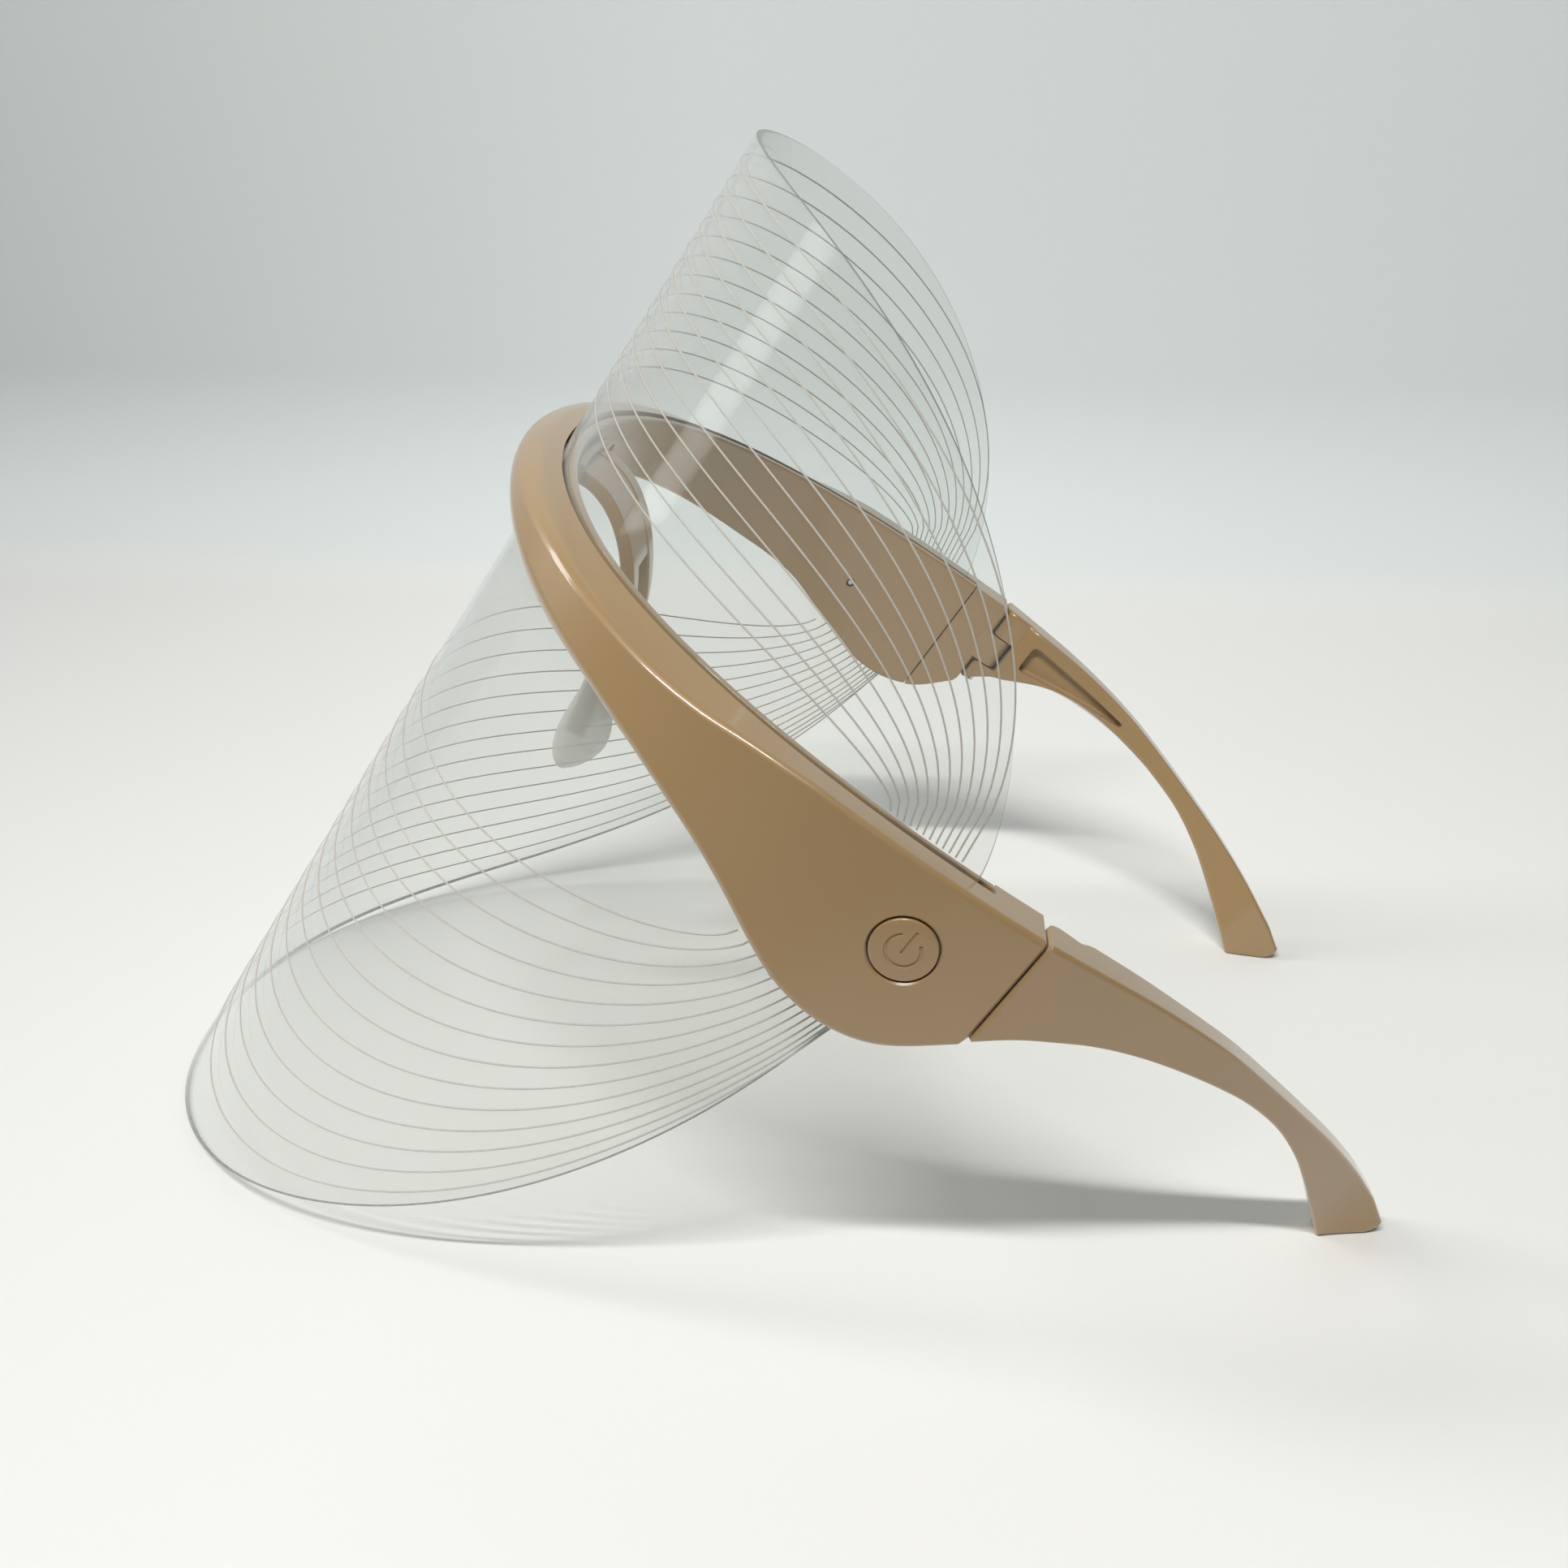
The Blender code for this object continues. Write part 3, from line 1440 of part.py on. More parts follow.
def nose_screw_hole(side, name):
    """Bore for a screw of the nose rest."""
    arc = side * NOSE_SCREW_SPACING
    return wall_rod(f"nose_{name}_hole_{side}", arc, NOSE_SCREW_DROP,
                    SCREW_HOLE_RADIUS, thickness(arc) - INNER_WALL - SCREW_HOLE_RADIUS,
                    thickness(arc) + NOSE_PLATE_THICKNESS + OVERRUN)


def nose_bridge():
    """Nose rest: plate, saddle and two legs with flat stems for the pads."""
    piece = nose_plate()
    legs = [loft(f"nose_leg_{side}", leg_rings(side), cutter=True) for side in (1, -1)]
    join(piece, nose_web(), *legs)
    for side in (1, -1):
        cut(piece, nose_screw_hole(side, "plate"))
    return piece


def nose_screws():
    """Screws that hold the nose rest on the frame."""
    for side, side_name in ((1, "left"), (-1, "right")):
        arc = side * NOSE_SCREW_SPACING
        seat = thickness(arc) + GAP + NOSE_PLATE_THICKNESS + GAP / 3
        small_screw("nose_screw_" + side_name, wall_matrix(arc, seat, -NOSE_SCREW_DROP),
                    NOSE_SCREW_LENGTH)


def pad_rings(side):
    """Cross-sections down a nose pad, from its top to its rounded end."""
    low = stem_end()
    high = nose_path(1)
    ahead = (low - high).normalized()
    across = Vector((-ahead.y, ahead.x))
    end = low + ahead * PAD_BELOW_STEM
    rings = []
    for share, swell in PAD_SHARES:
        point = end - ahead * PAD_LENGTH * (1 - share)
        point = point + across * PAD_BOW * math.sin(math.pi * share)
        middle = leg_spread(point)
        half_depth = PAD_HALF_DEPTH * swell
        half_thick = PAD_HALF_THICKNESS * min(swell + PAD_FULLER_SHARE, 1)
        ring = []
        for k in range(SMALL_CIRCLE_STEPS):
            angle = 2 * math.pi * k / SMALL_CIRCLE_STEPS
            at = point + across * half_depth * math.sin(angle)
            ring.append(Vector((side * (middle + half_thick * math.cos(angle)), at.x, at.y)))
        rings.append(ring)
    return rings


def stem_room(side, side_name):
    """Hollow of a pad, round its stem, open at the pad's top."""
    spine = leg_spine(8)
    bottom = stem_end()
    ahead = (bottom - nose_path(1)).normalized()
    spine.append((bottom + ahead * GAP, 2))
    rings = [leg_section(side, spine, i, GAP) for i in range(len(spine))]
    return loft(side_name + "_stem_room", rings, cutter=True)


def nose_pads():
    """Soft pads pushed over the stems."""
    for side, side_name in ((1, "left"), (-1, "right")):
        silicone = principled("silicone_" + side_name, (0.75, 0.74, 0.68), 0.4, clear=0.6)
        piece = loft("nose_pad_" + side_name, pad_rings(side), silicone)
        cut(piece, stem_room(side, side_name))


# Resting place


def lean_back():
    """Parents every piece to one empty, and leans it on to the ground."""
    cosine, sine = math.cos(LEAN), math.sin(LEAN)
    lowest = sheet_ring(0)[0]
    heel, heel_height = heel_point(1)
    front = lowest.y * cosine + lowest.z * sine
    rear = (SEAM_BACK + heel) * cosine + (heel_height + HEEL_THICKNESS) * sine
    height = (SEAM_BACK + ARM_REACH) * sine + ARM_DROP * cosine
    rest = bpy.data.objects.new("visor_lean", None)
    PARTS.objects.link(rest)
    rest.location = (0, -(front + rear) / 2, height)
    rest.rotation_euler = (-LEAN, 0, 0)
    for group in (PARTS, CUTTERS):
        for piece in group.objects:
            if piece is not rest:
                piece.parent = rest


def shade(piece):
    """Smooth shading, with crisp edges kept."""
    if piece.type == "MESH":
        piece.data.shade_smooth()
        piece.data.set_sharp_from_angle(angle=math.radians(32))


def build_visor():
    """Makes every piece and sets the visor down."""
    outer_frame()
    inner_frame()
    visor_sheet()
    frame_screws()
    power_button()
    switch_plunger()
    tactile_switch()
    control_board()
    controller_chip()
    charging_socket()
    battery()
    led_strips()
    wiring()
    hinge_pins()
    temple_arms()
    nose_bridge()
    nose_screws()
    nose_pads()
    for piece in PARTS.objects:
        shade(piece)
    lean_back()


build_visor()
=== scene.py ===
"""Looks of a light therapy visor: a clear engraved sheet on a tan frame with folding arms.

Lengths are metres. Shapes are drawn in the wearer's frame (x to the wearer's left,
y from the brow backwards, z up the head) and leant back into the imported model's frame.
"""

import json
import logging
import math
from collections.abc import Callable, Iterable, Sequence
from dataclasses import dataclass, field
from enum import Enum

import bmesh
import bpy
from mathutils import Matrix, Vector


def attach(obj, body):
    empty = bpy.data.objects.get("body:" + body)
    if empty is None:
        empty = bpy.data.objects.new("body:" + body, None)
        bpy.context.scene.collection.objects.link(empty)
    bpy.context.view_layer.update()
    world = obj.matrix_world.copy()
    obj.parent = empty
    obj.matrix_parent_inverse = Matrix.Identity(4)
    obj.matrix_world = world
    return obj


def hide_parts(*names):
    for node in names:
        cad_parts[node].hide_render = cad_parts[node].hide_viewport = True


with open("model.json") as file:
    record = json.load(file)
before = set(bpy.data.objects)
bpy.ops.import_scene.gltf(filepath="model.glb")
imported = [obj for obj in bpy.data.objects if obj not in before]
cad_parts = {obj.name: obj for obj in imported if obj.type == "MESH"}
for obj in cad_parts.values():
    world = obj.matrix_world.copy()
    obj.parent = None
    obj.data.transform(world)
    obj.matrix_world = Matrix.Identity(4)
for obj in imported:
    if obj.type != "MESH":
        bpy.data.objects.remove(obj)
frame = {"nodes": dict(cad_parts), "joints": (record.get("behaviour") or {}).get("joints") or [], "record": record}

LOG = logging.getLogger("visor")

Pair = tuple[float, float]
Outline = list[Pair]
Ring = list[Vector]
Colour = tuple[float, float, float]


class Body(Enum):
    """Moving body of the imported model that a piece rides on."""

    FRAME = "frame"
    BUTTON = "button"
    LEFT_ARM = "left_arm"
    RIGHT_ARM = "right_arm"


class Side(Enum):
    """Side of the wearer's head."""

    LEFT = 1
    RIGHT = -1

    @property
    def word(self) -> str:
        """The side in lower case, as the nodes are named."""
        return self.name.lower()


# Numbers


def mix(first: float, second: float, share: float) -> float:
    """Value part of the way from one number to another."""
    return first + (second - first) * share


def smooth(share: float) -> float:
    """Eases a share from 0 to 1."""
    share = min(max(share, 0.0), 1.0)
    return share * share * (3 - 2 * share)


def interpolate(table: Sequence[Pair], at: float) -> float:
    """Smooth curve through a table.

    Args:
        table: Pairs of position and value, in order of position.
        at: Position asked for.

    Returns:
        The value there, held at both ends.
    """
    if at <= table[0][0]:
        return table[0][1]
    if at >= table[-1][0]:
        return table[-1][1]
    i = max(k for k in range(len(table) - 1) if table[k][0] <= at)
    before, start = table[max(i - 1, 0)], table[i]
    end, after = table[i + 1], table[min(i + 2, len(table) - 1)]
    width = end[0] - start[0]
    slope_start = (end[1] - before[1]) / (end[0] - before[0]) * width
    slope_end = (after[1] - start[1]) / (after[0] - start[0]) * width
    t = (at - start[0]) / width
    return (
        start[1] * (2 * t**3 - 3 * t**2 + 1)
        + slope_start * (t**3 - 2 * t**2 + t)
        + end[1] * (3 * t**2 - 2 * t**3)
        + slope_end * (t**3 - t**2)
    )


def quarter(centre: Pair, radii: Pair, start: float, steps: int = 8) -> Outline:
    """Quarter of an ellipse."""
    angles = [(start + i / steps) * math.pi / 2 for i in range(steps + 1)]
    return [
        (centre[0] + radii[0] * math.cos(a), centre[1] + radii[1] * math.sin(a))
        for a in angles
    ]


def rounded_rectangle(low: Pair, high: Pair, radius: float, steps: int = 5) -> Outline:
    """Rectangle with round corners."""
    both = (radius, radius)
    return (
        quarter((high[0] - radius, high[1] - radius), both, 0, steps)
        + quarter((low[0] + radius, high[1] - radius), both, 1, steps)
        + quarter((low[0] + radius, low[1] + radius), both, 2, steps)
        + quarter((high[0] - radius, low[1] + radius), both, 3, steps)
    )


def both_ways(values: Iterable[float]) -> list[float]:
    """Lengths for both sides of the brow."""
    values = list(values)
    return [-v for v in reversed(values)] + [v for v in values if v > 0]


def evenly(start: float, end: float, count: int) -> list[float]:
    """Evenly spaced values, both ends among them."""
    return [mix(start, end, i / count) for i in range(count + 1)]


def cubic(points: Sequence[Vector], t: float) -> Vector:
    """Point of a cubic curve.

    Args:
        points: Its four control points.
        t: Curve parameter, from 0 to 1.

    Returns:
        The point.
    """
    u = 1 - t
    weights = (u**3, 3 * u * u * t, 3 * u * t * t, t**3)
    return sum((point * weight for point, weight in zip(points, weights)), Vector((0, 0)))


def round_angles(count: int) -> list[float]:
    """Evenly spaced angles of a full turn, the last one left out."""
    return [2 * math.pi * k / count for k in range(count)]


# Placing


def in_scene(name: str, data: bpy.types.ID) -> bpy.types.Object:
    """Makes an object and links it to the scene.

    Args:
        name: Name of the object.
        data: Its mesh, light or camera.

    Returns:
        The object, at the origin.
    """
    made = bpy.data.objects.new(name, data)
    bpy.context.scene.collection.objects.link(made)
    return made


class Lean:
    """How the wearer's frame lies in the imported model's frame."""

    def __init__(self, joints: Sequence[dict], hinge: Vector) -> None:
        """Reads the lean from the left hinge.

        Args:
            joints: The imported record's joints.
            hinge: The same hinge in the wearer's frame.
        """
        fold = next(j for j in joints if j["name"] == "left_temple_fold")
        up = Vector(fold["axis"]).normalized()
        self.angle = math.atan2(up.y, up.z)
        turn = Matrix.Rotation(-self.angle, 4, "X")
        self.matrix = Matrix.Translation(Vector(fold["pos_m"]) - turn @ hinge) @ turn


@dataclass(frozen=True)
class BrowCurve:
    """The brow seen from above: one cubic curve for each side."""

    half_width: float = 0.078
    seam_back: float = 0.097
    front_handle: float = 0.0436
    side_handle: float = 0.0726
    side_bulge: float = 0.0055
    hinge_block: float = 0.0085
    samples: int = 600
    lengths: list[float] = field(default_factory=list)

    def __post_init__(self) -> None:
        """Measures the running length of the curve."""
        last = self.point(0)
        self.lengths.append(0.0)
        for i in range(1, self.samples + 1):
            point = self.point(i / self.samples)
            self.lengths.append(self.lengths[-1] + (point - last).length)
            last = point

    @property
    def length(self) -> float:
        """Length of one side."""
        return self.lengths[-1]

    @property
    def block(self) -> float:
        """Length at which the solid block behind the housing starts."""
        return self.length - self.hinge_block

    def point(self, t: float) -> Vector:
        """Point of the left side's outer face.

        Args:
            t: Curve parameter, 0 at the brow and 1 at the seam.

        Returns:
            The point, as x and y.
        """
        outwards = self.half_width + self.side_bulge
        return cubic([Vector(p) for p in (
            (0, 0), (self.front_handle, 0), (outwards, self.seam_back - self.side_handle),
            (self.half_width, self.seam_back),
        )], t)

    def value(self, arc: float) -> float:
        """The curve parameter at a length from the brow.

        Args:
            arc: Length along one side.

        Returns:
            The parameter t.
        """
        arc = min(max(arc, 0.0), self.length)
        low, high = 0, self.samples
        while high - low > 1:
            middle = (low + high) // 2
            if self.lengths[middle] <= arc:
                low = middle
            else:
                high = middle
        step = self.lengths[high] - self.lengths[low]
        return (low + (arc - self.lengths[low]) / step) / self.samples

    def station(self, arc: float) -> tuple[Vector, Vector]:
        """Outer point and inward direction.

        Args:
            arc: Signed length from the brow, positive to the left.

        Returns:
            The point and the unit direction inwards, both as x and y.
        """
        side = -1 if arc < 0 else 1
        reach = abs(arc)
        t = self.value(reach)
        point = self.point(t)
        small = 1 / self.samples
        ahead = self.point(min(t + small, 1)) - self.point(max(t - small, 0))
        inward = Vector((-ahead.y, ahead.x)).normalized()
        square = smooth((reach - self.block + self.hinge_block) / self.hinge_block)
        inward = (inward * (1 - square) + Vector((-1, 0)) * square).normalized()
        return Vector((point.x * side, point.y)), Vector((inward.x * side, inward.y))

    def at(self, arc: float, inset: float, height: float) -> Vector:
        """Point a given distance inside the outer face.

        Args:
            arc: Signed length from the brow.
            inset: Distance inside the outer face.
            height: Height above the frame's top.

        Returns:
            The point in the wearer's frame.
        """
        point, inward = self.station(arc)
        at = point + inward * inset
        return Vector((at.x, at.y, height))

    def axes(self, arc: float, inset: float, height: float) -> Matrix:
        """Axes on the wall: x inwards, y backwards along it, z up.

        Args:
            arc: Signed length from the brow.
            inset: Distance inside the outer face.
            height: Height above the frame's top.

        Returns:
            The matrix of the axes, in the wearer's frame.
        """
        side = -1 if arc < 0 else 1
        _, inward = self.station(arc)
        along = Vector((inward.y * side, -inward.x * side, 0))
        turn = Matrix((Vector((inward.x, inward.y, 0)), along, Vector((0, 0, 1))))
        return Matrix.Translation(self.at(arc, inset, height)) @ turn.transposed().to_4x4()

    def ring(self, arc: float, outline: Outline) -> Ring:
        """Stands an outline on the wall."""
        return [self.at(arc, inset, height) for inset, height in outline]


@dataclass(frozen=True)
class BrowSection:
    """Cross-section of the brow frame as it runs along the curve."""

    curve: BrowCurve = BrowCurve()
    gap: float = 0.0003
    front_thickness: float = 0.0080
    side_thickness: float = 0.0092
    seam_thickness: float = 0.0079
    thickness_peak: float = 0.55
    inner_wall: float = 0.0016
    outer_wall: float = 0.0014
    sheet_thickness: float = 0.0008
    housing_depth: float = 0.0286
    swell: float = 0.0010
    ridge_drop: float = 0.0026
    brow_top: Pair = (0.0030, 0.0030)
    brow_low: Pair = (0.0044, 0.0052)
    seam_top: Pair = (0.0010, 0.0010)
    seam_low: Pair = (0.0012, 0.0012)
    seam_share: float = 0.68
    rounds_start: float = 0.15
    rounds_run: float = 0.4
    inner_round: float = 0.0006
    outer_edge: tuple[Pair, ...] = (
        (0.000, 0.301), (0.327, 0.322), (0.466, 0.350), (0.556, 0.413),
        (0.650, 0.542), (0.716, 0.671), (0.793, 0.874), (0.827, 0.941),
        (0.869, 0.976), (0.911, 0.955), (0.945, 0.885), (1.000, 0.680),
    )
    inner_edge: tuple[Pair, ...] = (
        (0.000, 0.357), (0.200, 0.399), (0.348, 0.462), (0.459, 0.524),
        (0.560, 0.590), (0.640, 0.640), (0.688, 0.692), (0.755, 0.822),
        (0.817, 0.944), (0.869, 1.000), (0.914, 0.986), (0.956, 0.895),
        (1.000, 0.680),
    )
    ridge: tuple[Pair, ...] = (
        (0.00, 0.40), (0.20, 0.45), (0.33, 0.56), (0.45, 0.88),
        (0.54, 1.00), (0.61, 0.80), (0.67, 0.34), (0.74, 0.00),
    )

    def share(self, arc: float) -> float:
        """Share of the side's length."""
        return abs(arc) / self.curve.length

    def thickness(self, arc: float) -> float:
        """Thickness of the whole frame.

        Args:
            arc: Signed length from the brow.

        Returns:
            The thickness there.
        """
        share = self.share(arc)
        if share < self.thickness_peak:
            rise = smooth(share / self.thickness_peak)
            return mix(self.front_thickness, self.side_thickness, rise)
        rest = (share - self.thickness_peak) / (1 - self.thickness_peak)
        return mix(self.side_thickness, self.seam_thickness, smooth(rest))

    def groove(self, arc: float) -> float:
        """Depth of the sheet's slot below the outer face."""
        return self.thickness(arc) - self.inner_wall - self.sheet_thickness - 2 * self.gap

    def outer_depth(self, arc: float) -> float:
        """Depth of the outer face's lower edge."""
        return self.housing_depth * interpolate(self.outer_edge, self.share(arc))

    def depth(self, arc: float, inset: float | None = None) -> float:
        """Depth of the underside, which slopes from the outer to the inner face.

        Args:
            arc: Signed length from the brow.
            inset: Distance inside the outer face, or None for the inner face.

        Returns:
            The depth below the frame's top.
        """
        inner = self.housing_depth * interpolate(self.inner_edge, self.share(arc))
        share = 1.0 if inset is None else inset / self.thickness(arc)
        return mix(self.outer_depth(arc), inner, min(max(share, 0.0), 1.0))

    def edge_rounds(self, arc: float) -> list[Pair]:
        """Rounding of the outer edges, soft at the brow and crisp at the seam.

        Args:
            arc: Signed length from the brow.

        Returns:
            Width and height of the upper and the lower rounding.
        """
        share = smooth((self.share(arc) - self.rounds_start) / self.rounds_run)
        pairs = ((self.brow_top, self.seam_top), (self.brow_low, self.seam_low))
        return [tuple(mix(b, s, share) for b, s in zip(brow, seam)) for brow, seam in pairs]

    def slope(self, arc: float, outline: Outline) -> Outline:
        """Gives an outline the swell, the sloping top and the sloping underside.

        Args:
            arc: Signed length from the brow.
            outline: Pairs of inset and height of a square section.

        Returns:
            The shaped outline.
        """
        swell = self.swell * smooth(1 - self.share(arc) * 2)
        drop = self.ridge_drop * interpolate(self.ridge, self.share(arc))
        deep = self.outer_depth(arc)
        shaped = []
        for inset, height in outline:
            share = min(max(1 - inset / self.groove(arc), 0.0), 1.0)
            fall = self.depth(arc, inset) - deep
            down = mix(drop * share, fall, -height / deep)
            shaped.append((inset - swell * share, height - down))
        return shaped

    def outer_outline(self, arc: float, width: float, chamfer: float) -> Outline:
        """Section of the outer shell, from its inner top corner outwards.

        Args:
            arc: Signed length from the brow.
            width: Width of the shell there.
            chamfer: How far the section is drawn in at the seam.

        Returns:
            The outline.
        """
        top, low = self.edge_rounds(arc)
        bottom = -self.outer_depth(arc) + chamfer
        upper = quarter((top[0] + chamfer, -top[1] - chamfer), top, 1)
        lower = quarter((low[0] + chamfer, bottom + low[1]), low, 2)
        ends = [(width - chamfer, -chamfer)], [(width - chamfer, bottom)]
        return self.slope(arc, ends[0] + upper + lower + ends[1])

    def channel_outline(self, arc: float) -> Outline:
        """Section of the hollow inside the outer shell.

        Args:
            arc: Signed length from the brow.

        Returns:
            The outline.
        """
        wall = self.outer_wall
        top, low = [[max(size - wall, wall / 4) for size in pair]
                    for pair in self.edge_rounds(arc)]
        floor = wall - self.outer_depth(arc)
        upper = quarter((wall + top[0], -wall - top[1]), top, 1)
        lower = quarter((wall + low[0], floor + low[1]), low, 2)
        mouth = self.thickness(arc) + 2 * wall
        return self.slope(arc, [(mouth, -wall)] + upper + lower + [(mouth, floor)])

    def inner_outline(self, arc: float) -> Outline:
        """Section of the inner shell.

        Args:
            arc: Signed length from the brow.

        Returns:
            The outline.
        """
        near, far = self.thickness(arc) - self.inner_wall, self.thickness(arc)
        edge, small = self.inner_round, self.inner_round / 3
        both = (edge, edge)
        return (
            quarter((near + small, -small), (small, small), 1, steps=3)
            + [(near, -self.depth(arc, near))]
            + quarter((far - edge, edge - self.depth(arc)), both, 3, steps=5)
            + quarter((far - edge, -edge), both, 0, steps=5)
        )


# Node graphs


def live(sockets: Iterable[bpy.types.NodeSocket], name: str) -> bpy.types.NodeSocket:
    """The socket of a name that the node's settings leave in use."""
    return next(s for s in sockets if s.enabled and s.name.lower() == name.lower())


class Graph:
    """A node tree, shader or geometry, with one way to make its nodes."""

    def __init__(self, tree: bpy.types.NodeTree) -> None:
        """Keeps the tree."""
        self.tree = tree

    def node(self, kind: str, settings: dict | None = None, **sockets: object) -> bpy.types.Node:
        """Adds a node.

        Args:
            kind: The node's type.
            settings: The node's own settings.
            sockets: Values or links of its inputs; a_name stands for "A Name", and i0
                for the first input.

        Returns:
            The node.
        """
        made = self.tree.nodes.new(kind)
        for key, value in (settings or {}).items():
            setattr(made, key, value)
        for key, value in sockets.items():
            self.feed(self._socket(made, key), value)
        return made

    @staticmethod
    def _socket(node: bpy.types.Node, key: str) -> bpy.types.NodeSocket:
        """Finds an input by the keyword that names it.

        Args:
            node: The node.
            key: i and a number, or the name with underscores, in any case.

        Returns:
            The input.
        """
        if key[0] == "i" and key[1:].isdigit():
            return node.inputs[int(key[1:])]
        return live(node.inputs, key.replace("_", " "))

    def feed(self, socket: bpy.types.NodeSocket, value: object) -> None:
        """Sets an input or links it.

        Args:
            socket: The input.
            value: A Value, an output socket, a colour, a vector or a number.
        """
        if isinstance(value, Value):
            self.tree.links.new(value.socket, socket)
        elif isinstance(value, bpy.types.NodeSocket):
            self.tree.links.new(value, socket)
        elif socket.type == "RGBA" and len(value) == 3:
            socket.default_value = (*value, 1)
        else:
            socket.default_value = value

    def value(self, node: bpy.types.Node, output: str | int = 0) -> "Value":
        """Wraps a node's output for maths."""
        return Value(self, node.outputs[output])

    def vector(self, operation: str, first: object, second: object) -> "Value":
        """Vector Math.

        Args:
            operation: The operation.
            first: First vector.
            second: Second vector, or a number where the operation scales.

        Returns:
            The resulting vector.
        """
        node = self.tree.nodes.new("ShaderNodeVectorMath")
        node.operation = operation
        self.feed(node.inputs[0], first)
        self.feed(node.inputs["Scale"] if operation == "SCALE" else node.inputs[1], second)
        return Value(self, node.outputs[0])


def operator(operation: str, first: bool = True) -> Callable[["Value", object], "Value"]:
    """Makes the method that turns a Python operator into a Math node.

    Args:
        operation: The node's operation.
        first: False where the value stands behind the operator.

    Returns:
        The method.
    """
    def method(value: "Value", other: object) -> "Value":
        """Result of the operator."""
        before, after = (value, other) if first else (other, value)
        return value.graph.value(value.graph.node(
            "ShaderNodeMath", {"operation": operation}, i0=before, i1=after))

    return method


class Value:
    """A number output that Python operators turn into Math nodes."""

    def __init__(self, graph: Graph, socket: bpy.types.NodeSocket) -> None:
        """Wraps the output."""
        self.graph = graph
        self.socket = socket

    def math(self, operation: str, *others: object, clamp: bool = False) -> "Value":
        """Adds a Math node with this value first.

        Args:
            operation: The node's operation.
            others: Its other inputs.
            clamp: True to hold the result between 0 and 1.

        Returns:
            The result.
        """
        inputs = {f"i{i}": v for i, v in enumerate((self, *others))}
        settings = {"operation": operation, "use_clamp": clamp}
        return self.graph.value(self.graph.node("ShaderNodeMath", settings, **inputs))

    __add__, __radd__ = operator("ADD"), operator("ADD", first=False)
    __sub__, __rsub__ = operator("SUBTRACT"), operator("SUBTRACT", first=False)
    __truediv__, __rtruediv__ = operator("DIVIDE"), operator("DIVIDE", first=False)
    __mul__, __pow__ = operator("MULTIPLY"), operator("POWER")

    def clamped(self) -> "Value":
        """The value, held between 0 and 1."""
        return self.math("ADD", 0.0, clamp=True)


# Finishes


class Paint:
    """Builds one material out of nodes."""

    def __init__(self, name: str) -> None:
        """Starts an empty material.

        Args:
            name: Name of the material.
        """
        self.material = bpy.data.materials.new(name)
        self.material.use_nodes = True
        self.material.node_tree.nodes.clear()
        self.graph = Graph(self.material.node_tree)
        self.output = self.graph.node("ShaderNodeOutputMaterial")
        coordinates = self.graph.node("ShaderNodeTexCoord")
        self.place = self.graph.value(coordinates, "Object")

    def noise(self, scale: float, detail: float, stretch: object = None) -> Value:
        """Cloudy noise over the piece.

        Args:
            scale: Features to the metre.
            detail: How many finer layers it has.
            stretch: Three factors that pull the pattern along the axes, or None.

        Returns:
            The noise, from 0 to 1.
        """
        at = self.graph.vector("MULTIPLY", self.place, stretch) if stretch else self.place
        node = self.graph.node("ShaderNodeTexNoise", vector=at, scale=scale, detail=detail)
        return self.graph.value(node)

    def specks(self, scale: float, reach: float) -> Value:
        """Small separate dots."""
        node = self.graph.node("ShaderNodeTexVoronoi", vector=self.place, scale=scale)
        return self.graph.value(node, "Distance").math("LESS_THAN", reach)

    def scattered(self, dots: Pair, patches: Pair, level: float) -> Value:
        """Small dots that lie in patches.

        Args:
            dots: Scale and reach of the dots.
            patches: Scale and detail of the noise that holds them.
            level: Noise above which they show.

        Returns:
            The dots, 0 or 1.
        """
        return self.specks(*dots) * self.noise(*patches).math("GREATER_THAN", level)

    def blend(self, share: object, first: object, second: object) -> Value:
        """Mix of two colours.

        Args:
            share: Share of the second colour.
            first: First colour.
            second: Second colour.

        Returns:
            The mixed colour.
        """
        node = self.graph.node("ShaderNodeMix", {"data_type": "RGBA"}, i0=share, i6=first,
                               i7=second)
        return self.graph.value(node, 2)

    def crossfade(self, share: Value, first: bpy.types.Node,
                  second: bpy.types.Node) -> bpy.types.Node:
        """Shader that turns from the first into the second as the share grows."""
        return self.graph.node("ShaderNodeMixShader", i0=share, i1=first.outputs[0],
                               i2=second.outputs[0])

    @staticmethod
    def varied(size: Pair, pattern: Value) -> Value:
        """A least size and what a pattern adds to it."""
        return size[0] + pattern * size[1]

    def bump(self, height: Value, distance: float) -> Value:
        """Surface relief."""
        return self.graph.value(self.graph.node("ShaderNodeBump", strength=1.0,
                                                distance=distance, height=height))

    def principled(self, **sockets: object) -> bpy.types.Node:
        """A Principled shader."""
        return self.graph.node("ShaderNodeBsdfPrincipled", **sockets)

    def done(self, shader: bpy.types.Node) -> bpy.types.Material:
        """Connects the shader."""
        self.graph.feed(self.output.inputs["Surface"], shader.outputs[0])
        return self.material


